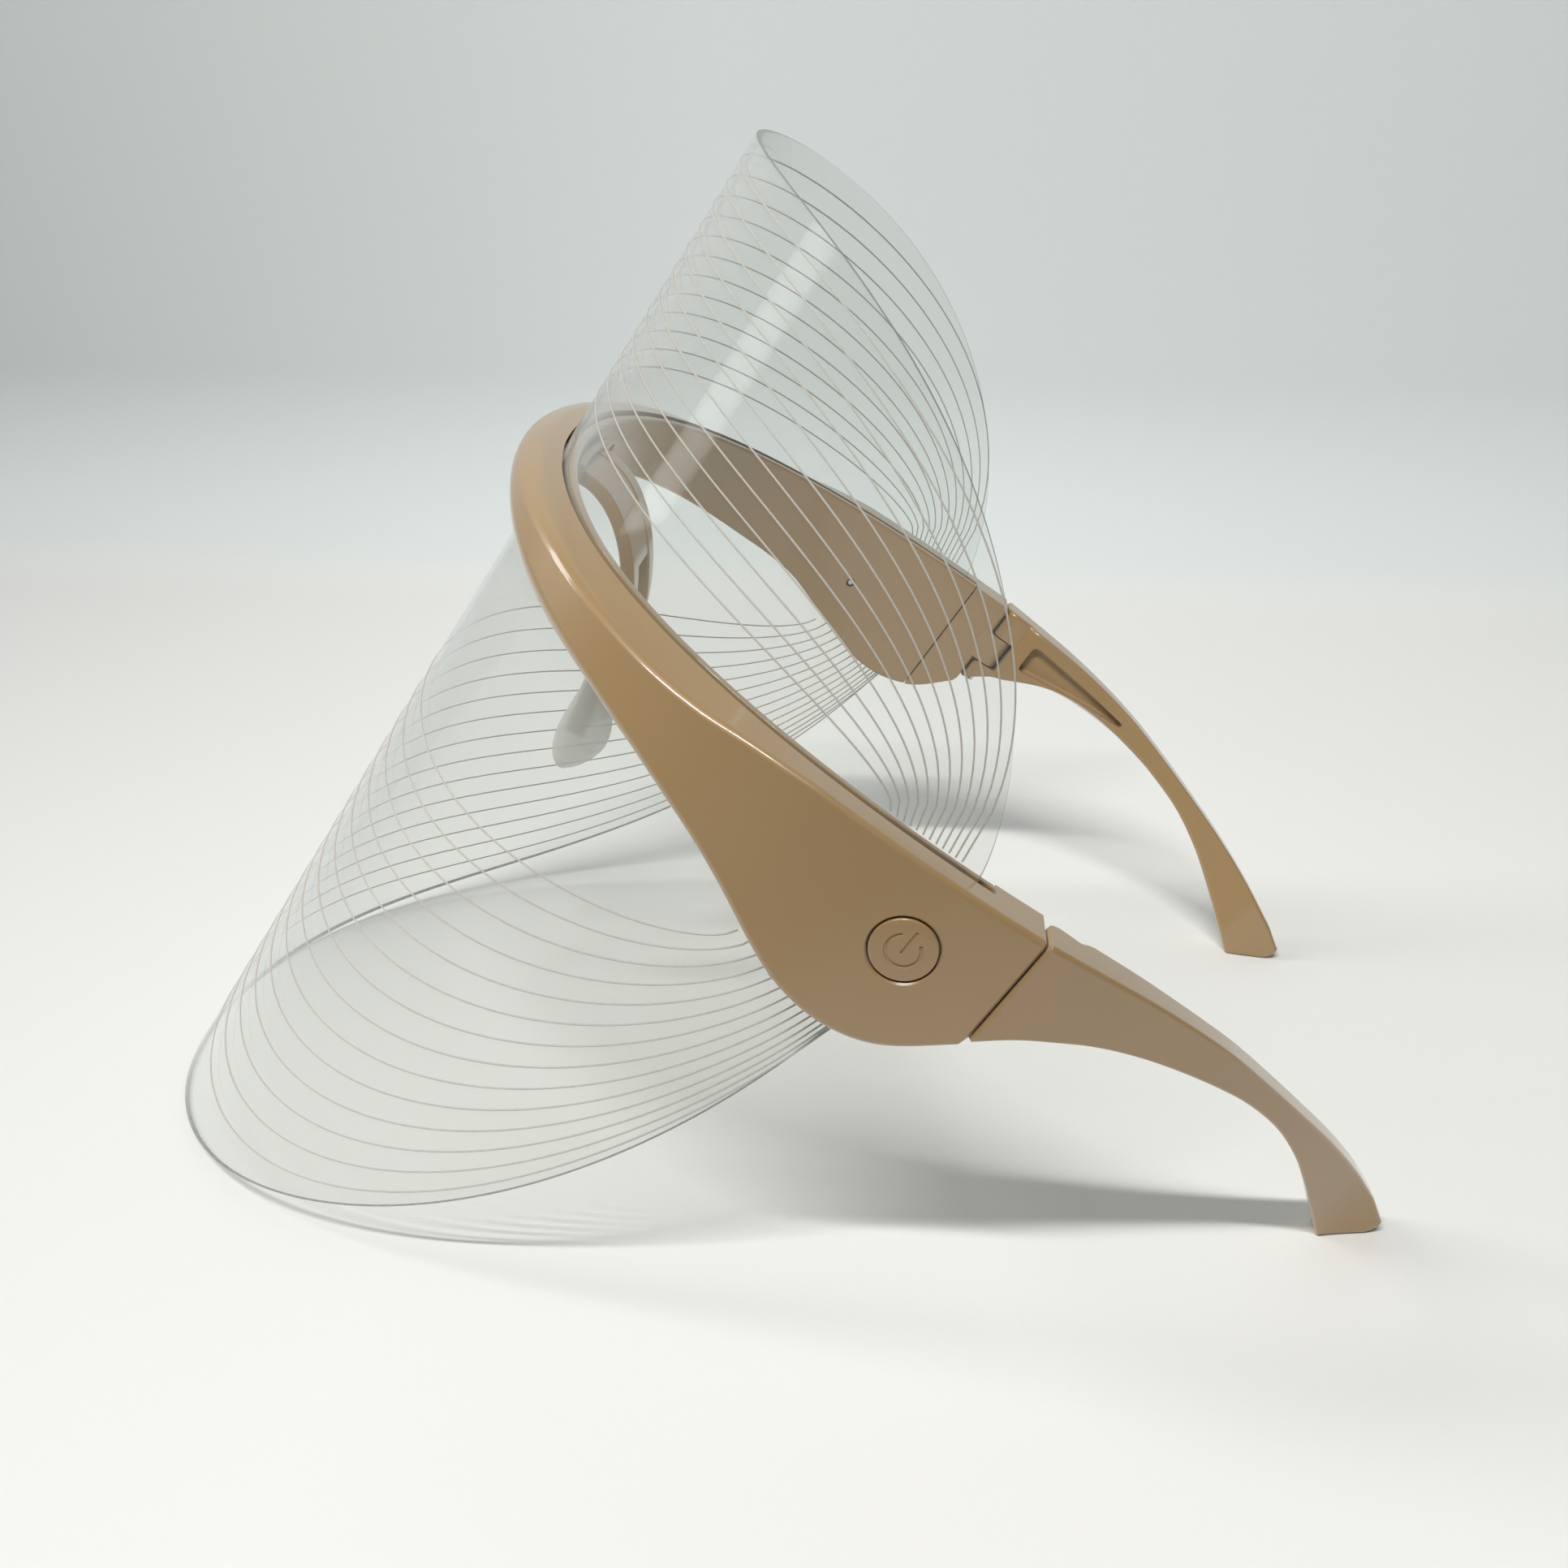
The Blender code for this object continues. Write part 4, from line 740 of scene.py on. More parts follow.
@dataclass(frozen=True)
class FramePlastic:
    """Tan moulded plastic with a satin gloss and a fine moulded grain."""

    name: str = "frame_plastic"
    colour: Colour = (0.385, 0.254, 0.122)
    shade: Colour = (0.356, 0.231, 0.108)
    dust: Colour = (0.46, 0.35, 0.23)
    clouds: Pair = (38, 2)
    grains: Pair = (2600, 3)
    waves: Pair = (420, 2)
    dots: Pair = (420, 0.035)
    dot_patches: Pair = (120, 1)
    dot_level: float = 0.56
    dot_share: float = 0.55
    roughness: float = 0.36
    swings: tuple[float, float, float] = (0.10, 0.08, 0.2)
    relief: float = 0.000012
    relief_mix: Pair = (0.6, 1.4)

    def build(self) -> bpy.types.Material:
        """Makes the material.

        Returns:
            The material.
        """
        paint = Paint(self.name)
        cloud, fine = paint.noise(*self.clouds), paint.noise(*self.grains)
        wave = paint.noise(*self.waves)
        specks = paint.scattered(self.dots, self.dot_patches, self.dot_level)
        tone = paint.blend(cloud, self.colour, self.shade)
        tone = paint.blend(specks * self.dot_share, tone, self.dust)
        clouds, grains, dots = self.swings
        rough = self.roughness + (cloud - 0.5) * clouds + (fine - 0.5) * grains + specks * dots
        near, wide = self.relief_mix
        relief = paint.bump(fine * near + wave * wide, self.relief)
        return paint.done(paint.principled(
            base_color=tone, roughness=rough, normal=relief, ior=1.5,
            coat_weight=0.75, coat_roughness=0.10, sheen_weight=0.25, sheen_roughness=0.35,
        ))


@dataclass(frozen=True)
class ClearSheet:
    """Clear polished sheet: see-through, with gloss that grows towards grazing angles."""

    name: str = "clear_sheet"
    tint: Colour = (0.962, 0.968, 0.962)
    gloss_colour: Colour = (0.78, 0.80, 0.79)
    dots: Pair = (260, 0.03)
    dot_patches: Pair = (90, 1)
    dot_level: float = 0.55
    dot_gloss: float = 0.22
    smears: Pair = (30, 3)
    haze: float = 0.012
    roughness: Pair = (0.035, 0.03)
    face_gloss: float = 0.035
    edge_gloss: float = 0.85
    power: float = 4.2

    def build(self) -> bpy.types.Material:
        """Makes the material.

        Returns:
            The material.
        """
        paint = Paint(self.name)
        weight = paint.graph.node("ShaderNodeLayerWeight", blend=0.5)
        facing = paint.graph.value(weight, "Facing")
        dust = paint.scattered(self.dots, self.dot_patches, self.dot_level)
        smear = paint.noise(*self.smears)
        gloss = facing ** self.power * (self.edge_gloss - self.face_gloss)
        share = (gloss + self.face_gloss + smear * self.haze + dust * self.dot_gloss).clamped()
        clear = paint.graph.node("ShaderNodeBsdfTransparent", color=self.tint)
        surface = paint.principled(
            base_color=self.gloss_colour, roughness=paint.varied(self.roughness, smear), ior=1.49,
            specular_ior_level=1.0, coat_weight=1.0, coat_roughness=0.03,
        )
        return paint.done(paint.crossfade(share, clear, surface))


@dataclass(frozen=True)
class CutPlastic:
    """Cut or engraved surface of the clear sheet, which gathers light."""

    name: str
    colour: Colour
    light: Colour
    grains: Pair
    roughness: Pair
    alpha: float

    def build(self) -> bpy.types.Material:
        """Makes the material.

        Returns:
            The material.
        """
        paint = Paint(self.name)
        grain = paint.noise(*self.grains)
        return paint.done(paint.principled(
            base_color=paint.blend(grain, self.colour, self.light), ior=1.49,
            roughness=paint.varied(self.roughness, grain), alpha=self.alpha,
        ))


@dataclass(frozen=True)
class Silicone:
    """Soft milky silicone."""

    name: str = "silicone"
    colour: Colour = (0.71, 0.71, 0.66)
    light: Colour = (0.78, 0.775, 0.73)
    clouds: Pair = (500, 3)
    grains: Pair = (4200, 2)
    roughness: Pair = (0.36, 0.14)
    relief: float = 0.00001
    alpha: float = 0.62

    def build(self) -> bpy.types.Material:
        """Makes the material.

        Returns:
            The material.
        """
        paint = Paint(self.name)
        cloud, fine = paint.noise(*self.clouds), paint.noise(*self.grains)
        tone = paint.blend(cloud, self.colour, self.light)
        return paint.done(paint.principled(
            base_color=tone, roughness=paint.varied(self.roughness, cloud), ior=1.41,
            alpha=self.alpha, normal=paint.bump(fine, self.relief), subsurface_weight=0.25,
            subsurface_radius=(0.6, 0.55, 0.5), subsurface_scale=0.002,
        ))


@dataclass(frozen=True)
class Metal:
    """Plated steel with fine brushing."""

    name: str = "metal"
    colour: Colour = (0.62, 0.62, 0.63)
    shade: float = 0.82
    clouds: Pair = (300, 2)
    brushing: Pair = (2400, 4)
    stretch: tuple[float, float, float] = (1, 1, 6)
    roughness: float = 0.26
    swing: float = 0.16
    relief: float = 0.000008

    def build(self) -> bpy.types.Material:
        """Makes the material.

        Returns:
            The material.
        """
        paint = Paint(self.name)
        brush = paint.noise(*self.brushing, stretch=self.stretch)
        cloud = paint.noise(*self.clouds)
        tone = paint.blend(cloud, self.colour, tuple(c * self.shade for c in self.colour))
        return paint.done(paint.principled(
            base_color=tone, metallic=1.0, normal=paint.bump(brush, self.relief),
            roughness=self.roughness + (brush - 0.5) * self.swing,
        ))


@dataclass(frozen=True)
class Moulded:
    """Plain small mouldings and coatings, with a grain of their own."""

    name: str
    colour: Colour
    second: Colour
    roughness: float
    scale: float = 1500
    metallic: float = 0.0
    relief: float = 0.00001
    swing: float = 0.14

    def build(self) -> bpy.types.Material:
        """Makes the material.

        Returns:
            The material.
        """
        paint = Paint(self.name)
        cloud = paint.noise(self.scale / 6, 3)
        fine = paint.noise(self.scale, 3)
        tone = paint.blend(cloud, self.colour, self.second)
        return paint.done(paint.principled(
            base_color=tone, metallic=self.metallic, normal=paint.bump(fine, self.relief),
            roughness=self.roughness + (fine - 0.5) * self.swing,
        ))


@dataclass(frozen=True)
class CircuitBoard:
    """Green solder mask over a pattern of copper tracks."""

    name: str = "circuit_board"
    mask: Colour = (0.020, 0.17, 0.070)
    track: Colour = (0.050, 0.27, 0.120)
    pad: Colour = (0.62, 0.58, 0.40)
    pads: Pair = (520, 0.16)
    track_level: float = 0.62
    roughness: float = 0.34
    pad_gloss: float = 0.08
    pad_metal: float = 0.8
    relief: float = 0.00002

    def build(self) -> bpy.types.Material:
        """Makes the material.

        Returns:
            The material.
        """
        paint = Paint(self.name)
        bands = paint.graph.node("ShaderNodeTexWave", {"wave_type": "BANDS"}, vector=paint.place,
                                 scale=260.0, distortion=3.0, detail=2.0)
        tracks = paint.graph.value(bands, "Fac").math("GREATER_THAN", self.track_level)
        pads = paint.specks(*self.pads)
        tone = paint.blend(tracks, self.mask, self.track)
        tone = paint.blend(pads, tone, self.pad)
        return paint.done(paint.principled(
            base_color=tone, roughness=self.roughness - pads * self.pad_gloss,
            metallic=pads * self.pad_metal,
            normal=paint.bump((tracks + pads).clamped(), self.relief),
        ))


class Finishes:
    """Every finish of the visor, made once."""

    def __init__(self) -> None:
        """Builds the materials and keeps them by the record's slot names."""
        finishes = (
            FramePlastic(), ClearSheet(), Silicone(), Metal(), CircuitBoard(),
            Moulded("black_plastic", (0.018, 0.018, 0.019), (0.032, 0.031, 0.030), 0.42),
            Moulded("led_lens", (0.84, 0.79, 0.52), (0.74, 0.66, 0.36), 0.24),
            Moulded("battery_foil", (0.56, 0.57, 0.59), (0.44, 0.45, 0.47), 0.34,
                    scale=700, metallic=0.85, relief=0.00004),
            Moulded("wire_insulation", (0.52, 0.03, 0.03), (0.40, 0.02, 0.02), 0.40),
        )
        self.by_slot = {finish.name: finish.build() for finish in finishes}
        # The rim's dark colour is painted shade: the polished edge of the clear sheet is drawn nearly black.
        self.rim = CutPlastic("sheet_rim", (0.06, 0.065, 0.06), (0.30, 0.32, 0.30),
                              grains=(900, 2), roughness=(0.18, 0.12), alpha=0.85).build()
        self.line = CutPlastic("engraved_line", (0.46, 0.44, 0.40), (0.72, 0.70, 0.64),
                               grains=(3200, 2), roughness=(0.55, 0.2), alpha=0.80).build()


# Mesh work


class Workshop:
    """Makes closed meshes, cuts and joins them, and hands pieces to the frame."""

    def __init__(self, lean: Lean, finishes: Finishes) -> None:
        """Keeps what every piece needs."""
        self.lean = lean
        self.finishes = finishes

    @staticmethod
    def object_of(name: str, bm: bmesh.types.BMesh) -> bpy.types.Object:
        """Turns a bmesh into an object with its faces outwards.

        Args:
            name: Name of the object.
            bm: The closed mesh; it is freed.

        Returns:
            The object, at the origin.
        """
        bmesh.ops.recalc_face_normals(bm, faces=bm.faces)
        mesh = bpy.data.meshes.new(name)
        bm.to_mesh(mesh)
        bm.free()
        return in_scene(name, mesh)

    @staticmethod
    def skin(bm: bmesh.types.BMesh, rings: Sequence[Ring]) -> list[list[bmesh.types.BMVert]]:
        """Fills the strips between closed rings of points.

        Args:
            bm: The mesh that takes them.
            rings: The rings, each with as many points.

        Returns:
            The rings of vertices.
        """
        made = [[bm.verts.new(point) for point in ring] for ring in rings]
        count = len(made[0])
        for first, second in zip(made, made[1:]):
            for i in range(count):
                j = (i + 1) % count
                bm.faces.new((first[i], first[j], second[j], second[i]))
        return made

    def loft(self, name: str, rings: Sequence[Ring]) -> bpy.types.Object:
        """Closed skin over rings of points.

        Args:
            name: Name of the object.
            rings: Rings in the wearer's frame, each with as many points.

        Returns:
            The object, in the wearer's frame.
        """
        bm = bmesh.new()
        made = self.skin(bm, rings)
        bm.faces.new(made[0])
        bm.faces.new(made[-1])
        return self.object_of(name, bm)

    def turned(self, name: str, profile: Outline, place: Matrix, steps: int) -> bpy.types.Object:
        """Turned piece about the z axis of a place.

        Args:
            name: Name of the object.
            profile: Pairs of radius and height, from the axis round to the axis.
            place: Axes in the wearer's frame.
            steps: Faces round it.

        Returns:
            The object, in the wearer's frame.
        """
        bm = bmesh.new()
        ends = [bm.verts.new(place @ Vector((0, 0, profile[i][1]))) for i in (0, -1)]
        rings = self.skin(bm, [
            [place @ Vector((radius * math.cos(a), radius * math.sin(a), height))
             for a in round_angles(steps)] for radius, height in profile[1:-1]
        ])
        for k in range(steps):
            n = (k + 1) % steps
            bm.faces.new((ends[0], rings[0][k], rings[0][n]))
            bm.faces.new((ends[1], rings[-1][n], rings[-1][k]))
        return self.object_of(name, bm)

    def rod(self, name: str, radius: float, start: Vector, end: Vector,
            steps: int = 32) -> bpy.types.Object:
        """Round bar between two points.

        Args:
            name: Name of the object.
            radius: Its radius.
            start: First end in the wearer's frame.
            end: Second end.
            steps: Faces round it.

        Returns:
            The object, in the wearer's frame.
        """
        along = end - start
        turn = Vector((0, 0, 1)).rotation_difference(along).to_matrix().to_4x4()
        profile = [(0, 0), (radius, 0), (radius, along.length), (0, along.length)]
        return self.turned(name, profile, Matrix.Translation(start) @ turn, steps)

    def box(self, name: str, size: Sequence[float], place: Matrix) -> bpy.types.Object:
        """Box about a place.

        Args:
            name: Name of the object.
            size: Its three sizes.
            place: Its middle and axes in the wearer's frame.

        Returns:
            The object, in the wearer's frame.
        """
        half = [s / 2 for s in size]
        square = ((-1, -1), (1, -1), (1, 1), (-1, 1))
        return self.loft(name, [
            [place @ Vector((x, half[1] * a, half[2] * b)) for a, b in square]
            for x in (-half[0], half[0])
        ])

    @staticmethod
    def settle(piece: bpy.types.Object) -> bpy.types.Object:
        """Applies every modifier of a piece.

        Args:
            piece: The object.

        Returns:
            The same object with a plain mesh.
        """
        bpy.context.view_layer.update()
        graph = bpy.context.evaluated_depsgraph_get()
        mesh = bpy.data.meshes.new_from_object(piece.evaluated_get(graph))
        old = piece.data
        piece.modifiers.clear()
        piece.data = mesh
        mesh.name = piece.name
        if old.users == 0 and isinstance(old, bpy.types.Mesh):
            bpy.data.meshes.remove(old)
        return piece

    def combine(self, piece: bpy.types.Object, others: Sequence[bpy.types.Object],
                operation: str) -> bpy.types.Object:
        """Boolean of a piece with others, which are used up.

        Args:
            piece: The piece that stays.
            others: The pieces that are joined to it or taken out of it.
            operation: UNION or DIFFERENCE.

        Returns:
            The piece.
        """
        for other in others:
            step = piece.modifiers.new(other.name, "BOOLEAN")
            step.operation = operation
            step.solver = "EXACT"
            step.object = other
            self.settle(piece)
            self.weld(piece)
            mesh = other.data
            bpy.data.objects.remove(other)
            bpy.data.meshes.remove(mesh)
        return piece

    @staticmethod
    def weld(piece: bpy.types.Object, reach: float = 1e-6) -> None:
        """Merges points that lie closer than a size that nobody sees.

        Args:
            piece: The piece.
            reach: The size.
        """
        bm = bmesh.new()
        bm.from_mesh(piece.data)
        bmesh.ops.remove_doubles(bm, verts=bm.verts, dist=reach)
        bmesh.ops.dissolve_degenerate(bm, edges=bm.edges, dist=reach)
        bm.to_mesh(piece.data)
        bm.free()

    def cut(self, piece: bpy.types.Object, *others: bpy.types.Object) -> bpy.types.Object:
        """Takes others out of a piece."""
        return self.combine(piece, others, "DIFFERENCE")

    def join(self, piece: bpy.types.Object, *others: bpy.types.Object) -> bpy.types.Object:
        """Joins others to a piece."""
        return self.combine(piece, others, "UNION")

    def shade(self, piece: bpy.types.Object, angle: float) -> None:
        """Smooth shading with crisp edges and even normals on wide faces.

        Args:
            piece: The piece.
            angle: Edges sharper than this many degrees stay crisp.
        """
        piece.data.shade_smooth()
        piece.data.set_sharp_from_angle(angle=math.radians(angle))
        even = piece.modifiers.new("even_normals", "WEIGHTED_NORMAL")
        even.keep_sharp = True
        even.weight = 60
        self.settle(piece)

    @staticmethod
    def dress(piece: bpy.types.Object, *materials: bpy.types.Material) -> None:
        """Gives a piece its materials, the first of them on every face.

        Args:
            piece: The piece.
            materials: The materials.
        """
        piece.data.materials.clear()
        for material in materials:
            piece.data.materials.append(material)

    def hand_in(self, piece: bpy.types.Object, slot: str, body: Body,
                nodes: Sequence[str] = (), dressed: bool = False,
                angle: float = 30.0) -> None:
        """Leans a piece back, shades and dresses it, and hangs it on its body.

        Args:
            piece: The finished piece.
            slot: The record's material slot.
            body: The body that it rides on.
            nodes: Model nodes that it stands for.
            dressed: True where it already has materials of its own.
            angle: Edges sharper than this many degrees stay crisp.
        """
        piece.data.transform(self.lean.matrix)
        self.shade(piece, angle)
        if not dressed:
            self.dress(piece, self.finishes.by_slot[slot])
        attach(piece, body.value)
        if nodes:
            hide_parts(*nodes)
        LOG.info("%s: %d faces on %s", piece.name, len(piece.data.polygons), body.value)


# Sub-assemblies


@dataclass
class Hinges:
    """Sizes that both halves of a hinge share."""

    section: BrowSection
    radius: float = 0.0026
    setback: float = 0.00275
    tongue_height: float = 0.0064
    hole_radius: float = 0.0009
    pin_top: float = 0.0024
    web_overlap: float = 0.002

    @property
    def drop(self) -> float:
        """Height of the hinge's middle below the frame's top."""
        return self.section.housing_depth * self.section.seam_share / 2

    def axis(self, side: Side) -> Vector:
        """Point where a hinge's axis crosses the frame's top plane.

        Args:
            side: The side.

        Returns:
            The point in the wearer's frame.
        """
        curve = self.section.curve
        reach = curve.half_width - self.section.seam_thickness + self.radius
        return Vector((side.value * reach, curve.seam_back + self.setback, 0))

    def bore(self, shop: Workshop, side: Side) -> bpy.types.Object:
        """Cutter for the hinge pin.

        Args:
            shop: The workshop.
            side: The side.

        Returns:
            The cutter.
        """
        axis = self.axis(side)
        top = axis + Vector((0, 0, self.section.gap - self.pin_top))
        low = axis - Vector((0, 0, 3 * self.drop))
        return shop.rod(f"{side.word}_pin_bore", self.hole_radius, low, top)

    def tongue(self, shop: Workshop, side: Side) -> list[bpy.types.Object]:
        """Tongue behind the frame's end, as an eye and a web.

        Args:
            shop: The workshop.
            side: The side.

        Returns:
            Both solids.
        """
        axis = self.axis(side)
        half = self.tongue_height / 2
        eye = shop.rod(f"{side.word}_eye", self.radius, axis + Vector((0, 0, -half - self.drop)),
                       axis + Vector((0, 0, half - self.drop)), steps=48)
        root = self.setback + self.web_overlap
        middle = axis + Vector((0, -root / 2, -self.drop))
        web = shop.box(f"{side.word}_web", (2 * self.radius, root, self.tongue_height),
                       Matrix.Translation(middle))
        return [eye, web]

    def slot(self, shop: Workshop, side: Side) -> bpy.types.Object:
        """Cutter for the room that an arm leaves for the tongue.

        Args:
            shop: The workshop.
            side: The side.

        Returns:
            The cutter.
        """
        reach = self.radius + self.section.gap
        deep = 2 * self.section.seam_thickness
        size = (deep, deep, self.tongue_height + 2 * self.section.gap)
        corner = self.axis(side) + Vector((side.value * reach, reach, -self.drop))
        middle = corner - Vector((side.value * deep / 2, deep / 2, 0))
        return shop.box(f"{side.word}_fork_slot", size, Matrix.Translation(middle))


@dataclass
class FrameShells:
    """Outer and inner shell of the brow frame."""

    section: BrowSection
    hinges: Hinges
    stations: int = 130
    seam_chamfer: float = 0.0005
    button_radius: float = 0.0047
    button_ahead: float = 0.01495
    button_drop: float = 0.0118
    button_chamfer: float = 0.00028
    socket_size: Pair = (0.0092, 0.0034)
    socket_reach: Pair = (-0.003, 0.0064)
    socket_round: float = 0.98
    socket_inset: float = 0.0032
    socket_forward: float = 0.0078
    screw_hole: float = 0.0006
    counterbore: Pair = (0.0010, 0.0009)
    boss: float = 0.0014
    brow_screw: Pair = (0.0230, 0.0060)
    temple_screw_ahead: float = 0.0328
    temple_screw_share: float = 0.503
    nose_screw: Pair = (0.0060, 0.0077)
    nose_hole: float = 0.0022
    overrun: float = 0.002
    short_overrun: float = 0.001
    block_step: float = 0.00003

    def screws(self) -> list[Pair]:
        """Length along the wall and drop of each screw of the inner shell.

        Returns:
            One pair for each screw.
        """
        temple = self.section.curve.length - self.temple_screw_ahead
        drop = self.section.housing_depth * self.temple_screw_share
        brow = self.brow_screw
        return [brow, (-brow[0], brow[1]), (temple, drop), (-temple, drop)]

    def wall_rod(self, shop: Workshop, at: Pair, radius: float, start: float,
                 end: float) -> bpy.types.Object:
        """Round solid square to the wall."""
        curve = self.section.curve
        return shop.rod("wall_rod", radius, curve.at(at[0], start, -at[1]),
                        curve.at(at[0], end, -at[1]))

    def body_rings(self) -> list[Ring]:
        """Rings of the outer shell before its hollow is cut.

        Returns:
            The rings, from the right seam to the left one.
        """
        curve = self.section.curve
        front = evenly(0, curve.block - self.block_step, self.stations)
        block = [curve.block + v for v in evenly(0, curve.hinge_block - self.seam_chamfer, 8)]
        rings = []
        for arc in both_ways(front + block + [curve.length]):
            wide = abs(arc) >= curve.block
            width = self.section.thickness(arc) if wide else self.section.groove(arc)
            left = curve.length - abs(arc)
            chamfer = max(self.seam_chamfer - left, 0.0)
            rings.append(curve.ring(arc, self.section.outer_outline(arc, width, chamfer)))
        return rings

    def button_bore(self, shop: Workshop) -> bpy.types.Object:
        """Cutter for the button's hole, with a fine chamfer at its rim.

        Args:
            shop: The workshop.

        Returns:
            The cutter.
        """
        section = self.section
        arc = section.curve.length - self.button_ahead
        out = Matrix.Rotation(-math.pi / 2, 4, "Y")
        place = section.curve.axes(arc, 0, -self.button_drop) @ out
        hole = self.button_radius + section.gap
        rim = hole + self.button_chamfer
        over, low = self.overrun, -section.outer_wall - self.short_overrun
        profile = [(0, over), (rim + over, over), (rim, 0), (hole, -self.button_chamfer),
                   (hole, low), (0, low)]
        return shop.turned("button_bore", profile, place, steps=96)

    def socket_hole(self, shop: Workshop) -> bpy.types.Object:
        """Cutter for the charging opening in the underside.

        Args:
            shop: The workshop.

        Returns:
            The cutter.
        """
        section = self.section
        arc = section.curve.length - self.button_ahead - self.socket_forward
        place = section.curve.axes(arc, self.socket_inset, -section.outer_depth(arc))
        half, radius = self.socket_size[0] / 2, self.socket_size[1] / 2
        outline = rounded_rectangle((-radius, -half), (radius, half),
                                    radius * self.socket_round, steps=8)
        rings = [[place @ Vector((x, y, z)) for x, y in outline] for z in self.socket_reach]
        return shop.loft("socket_hole", rings)

    def outer(self, shop: Workshop) -> None:
        """Makes the outer shell.

        Args:
            shop: The workshop.
        """
        section = self.section
        curve = section.curve
        piece = shop.loft("outer_shell", self.body_rings())
        arcs = both_ways(evenly(0, curve.block - 2 * section.gap, self.stations))
        channel = [curve.ring(arc, section.channel_outline(arc)) for arc in arcs]
        shop.cut(piece, shop.loft("channel", channel))
        bosses = [self.wall_rod(shop, at, self.boss, section.outer_wall / 2,
                                section.groove(at[0])) for at in self.screws()]
        tongues = [t for side in Side for t in self.hinges.tongue(shop, side)]
        shop.join(piece, *bosses, *tongues)
        holes = [self.wall_rod(shop, at, self.screw_hole, 1.2 * section.outer_wall,
                               section.groove(at[0]) + self.short_overrun) for at in self.screws()]
        bores = [self.hinges.bore(shop, side) for side in Side]
        shop.cut(piece, *holes, *bores, self.button_bore(shop), self.socket_hole(shop))
        shop.hand_in(piece, "frame_plastic", Body.FRAME, ["outer_frame"])

    def inner(self, shop: Workshop) -> None:
        """Makes the inner shell.

        Args:
            shop: The workshop.
        """
        section, over = self.section, self.overrun
        curve = section.curve
        arcs = both_ways(evenly(0, curve.block - section.gap, self.stations))
        piece = shop.loft("inner_shell",
                          [curve.ring(arc, section.inner_outline(arc)) for arc in arcs])
        cutters = []
        for at in self.screws():
            inside = section.thickness(at[0])
            radius, deep = self.counterbore
            cutters.append(self.wall_rod(shop, at, radius, inside - deep, inside + over))
            cutters.append(self.wall_rod(shop, at, self.screw_hole,
                                         inside - section.inner_wall - over, inside))
        for side in Side:
            at = (side.value * self.nose_screw[0], self.nose_screw[1])
            inside = section.thickness(at[0])
            cutters.append(self.wall_rod(shop, at, self.screw_hole, inside - self.nose_hole,
                                         inside + over))
        shop.cut(piece, *cutters)
        shop.hand_in(piece, "frame_plastic", Body.FRAME, ["inner_frame"])

    def build(self, shop: Workshop) -> None:
        """Makes both shells."""
        self.outer(shop)
        self.inner(shop)


@dataclass
class SheetGuide:
    """The brow curve as a mesh line that the sheet and its engraved lines follow."""

    section: BrowSection
    end_inset: float = 0.0030
    steps: int = 400

    @property
    def end(self) -> float:
        """Length along the wall at which the sheet stops."""
        return self.section.curve.block - self.end_inset

    def build(self) -> bpy.types.Object:
        """Makes the line, with the way inwards, the slot's inset and its floor stored on it.

        Returns:
            The guide, in the wearer's frame.
        """
        section = self.section
        arcs = evenly(-self.end, self.end, self.steps)
        mesh = bpy.data.meshes.new("sheet_guide")
        points = [section.curve.at(arc, 0, 0) for arc in arcs]
        mesh.from_pydata(points, [(i, i + 1) for i in range(self.steps)], [])
        ways = [section.curve.station(arc)[1] for arc in arcs]
        grooves = [section.groove(arc) for arc in arcs]
        floors = [section.outer_wall - section.depth(*pair) for pair in zip(arcs, grooves)]
        insets = [groove + section.gap for groove in grooves]
        flat = [number for way in ways for number in (way.x, way.y, 0)]
        for name, kind, key, values in (("inward", "FLOAT_VECTOR", "vector", flat),
                                        ("inset", "FLOAT", "value", insets),
                                        ("floor", "FLOAT", "value", floors)):
            mesh.attributes.new(name, kind, "POINT").data.foreach_set(key, values)
        return in_scene("sheet_guide", mesh)


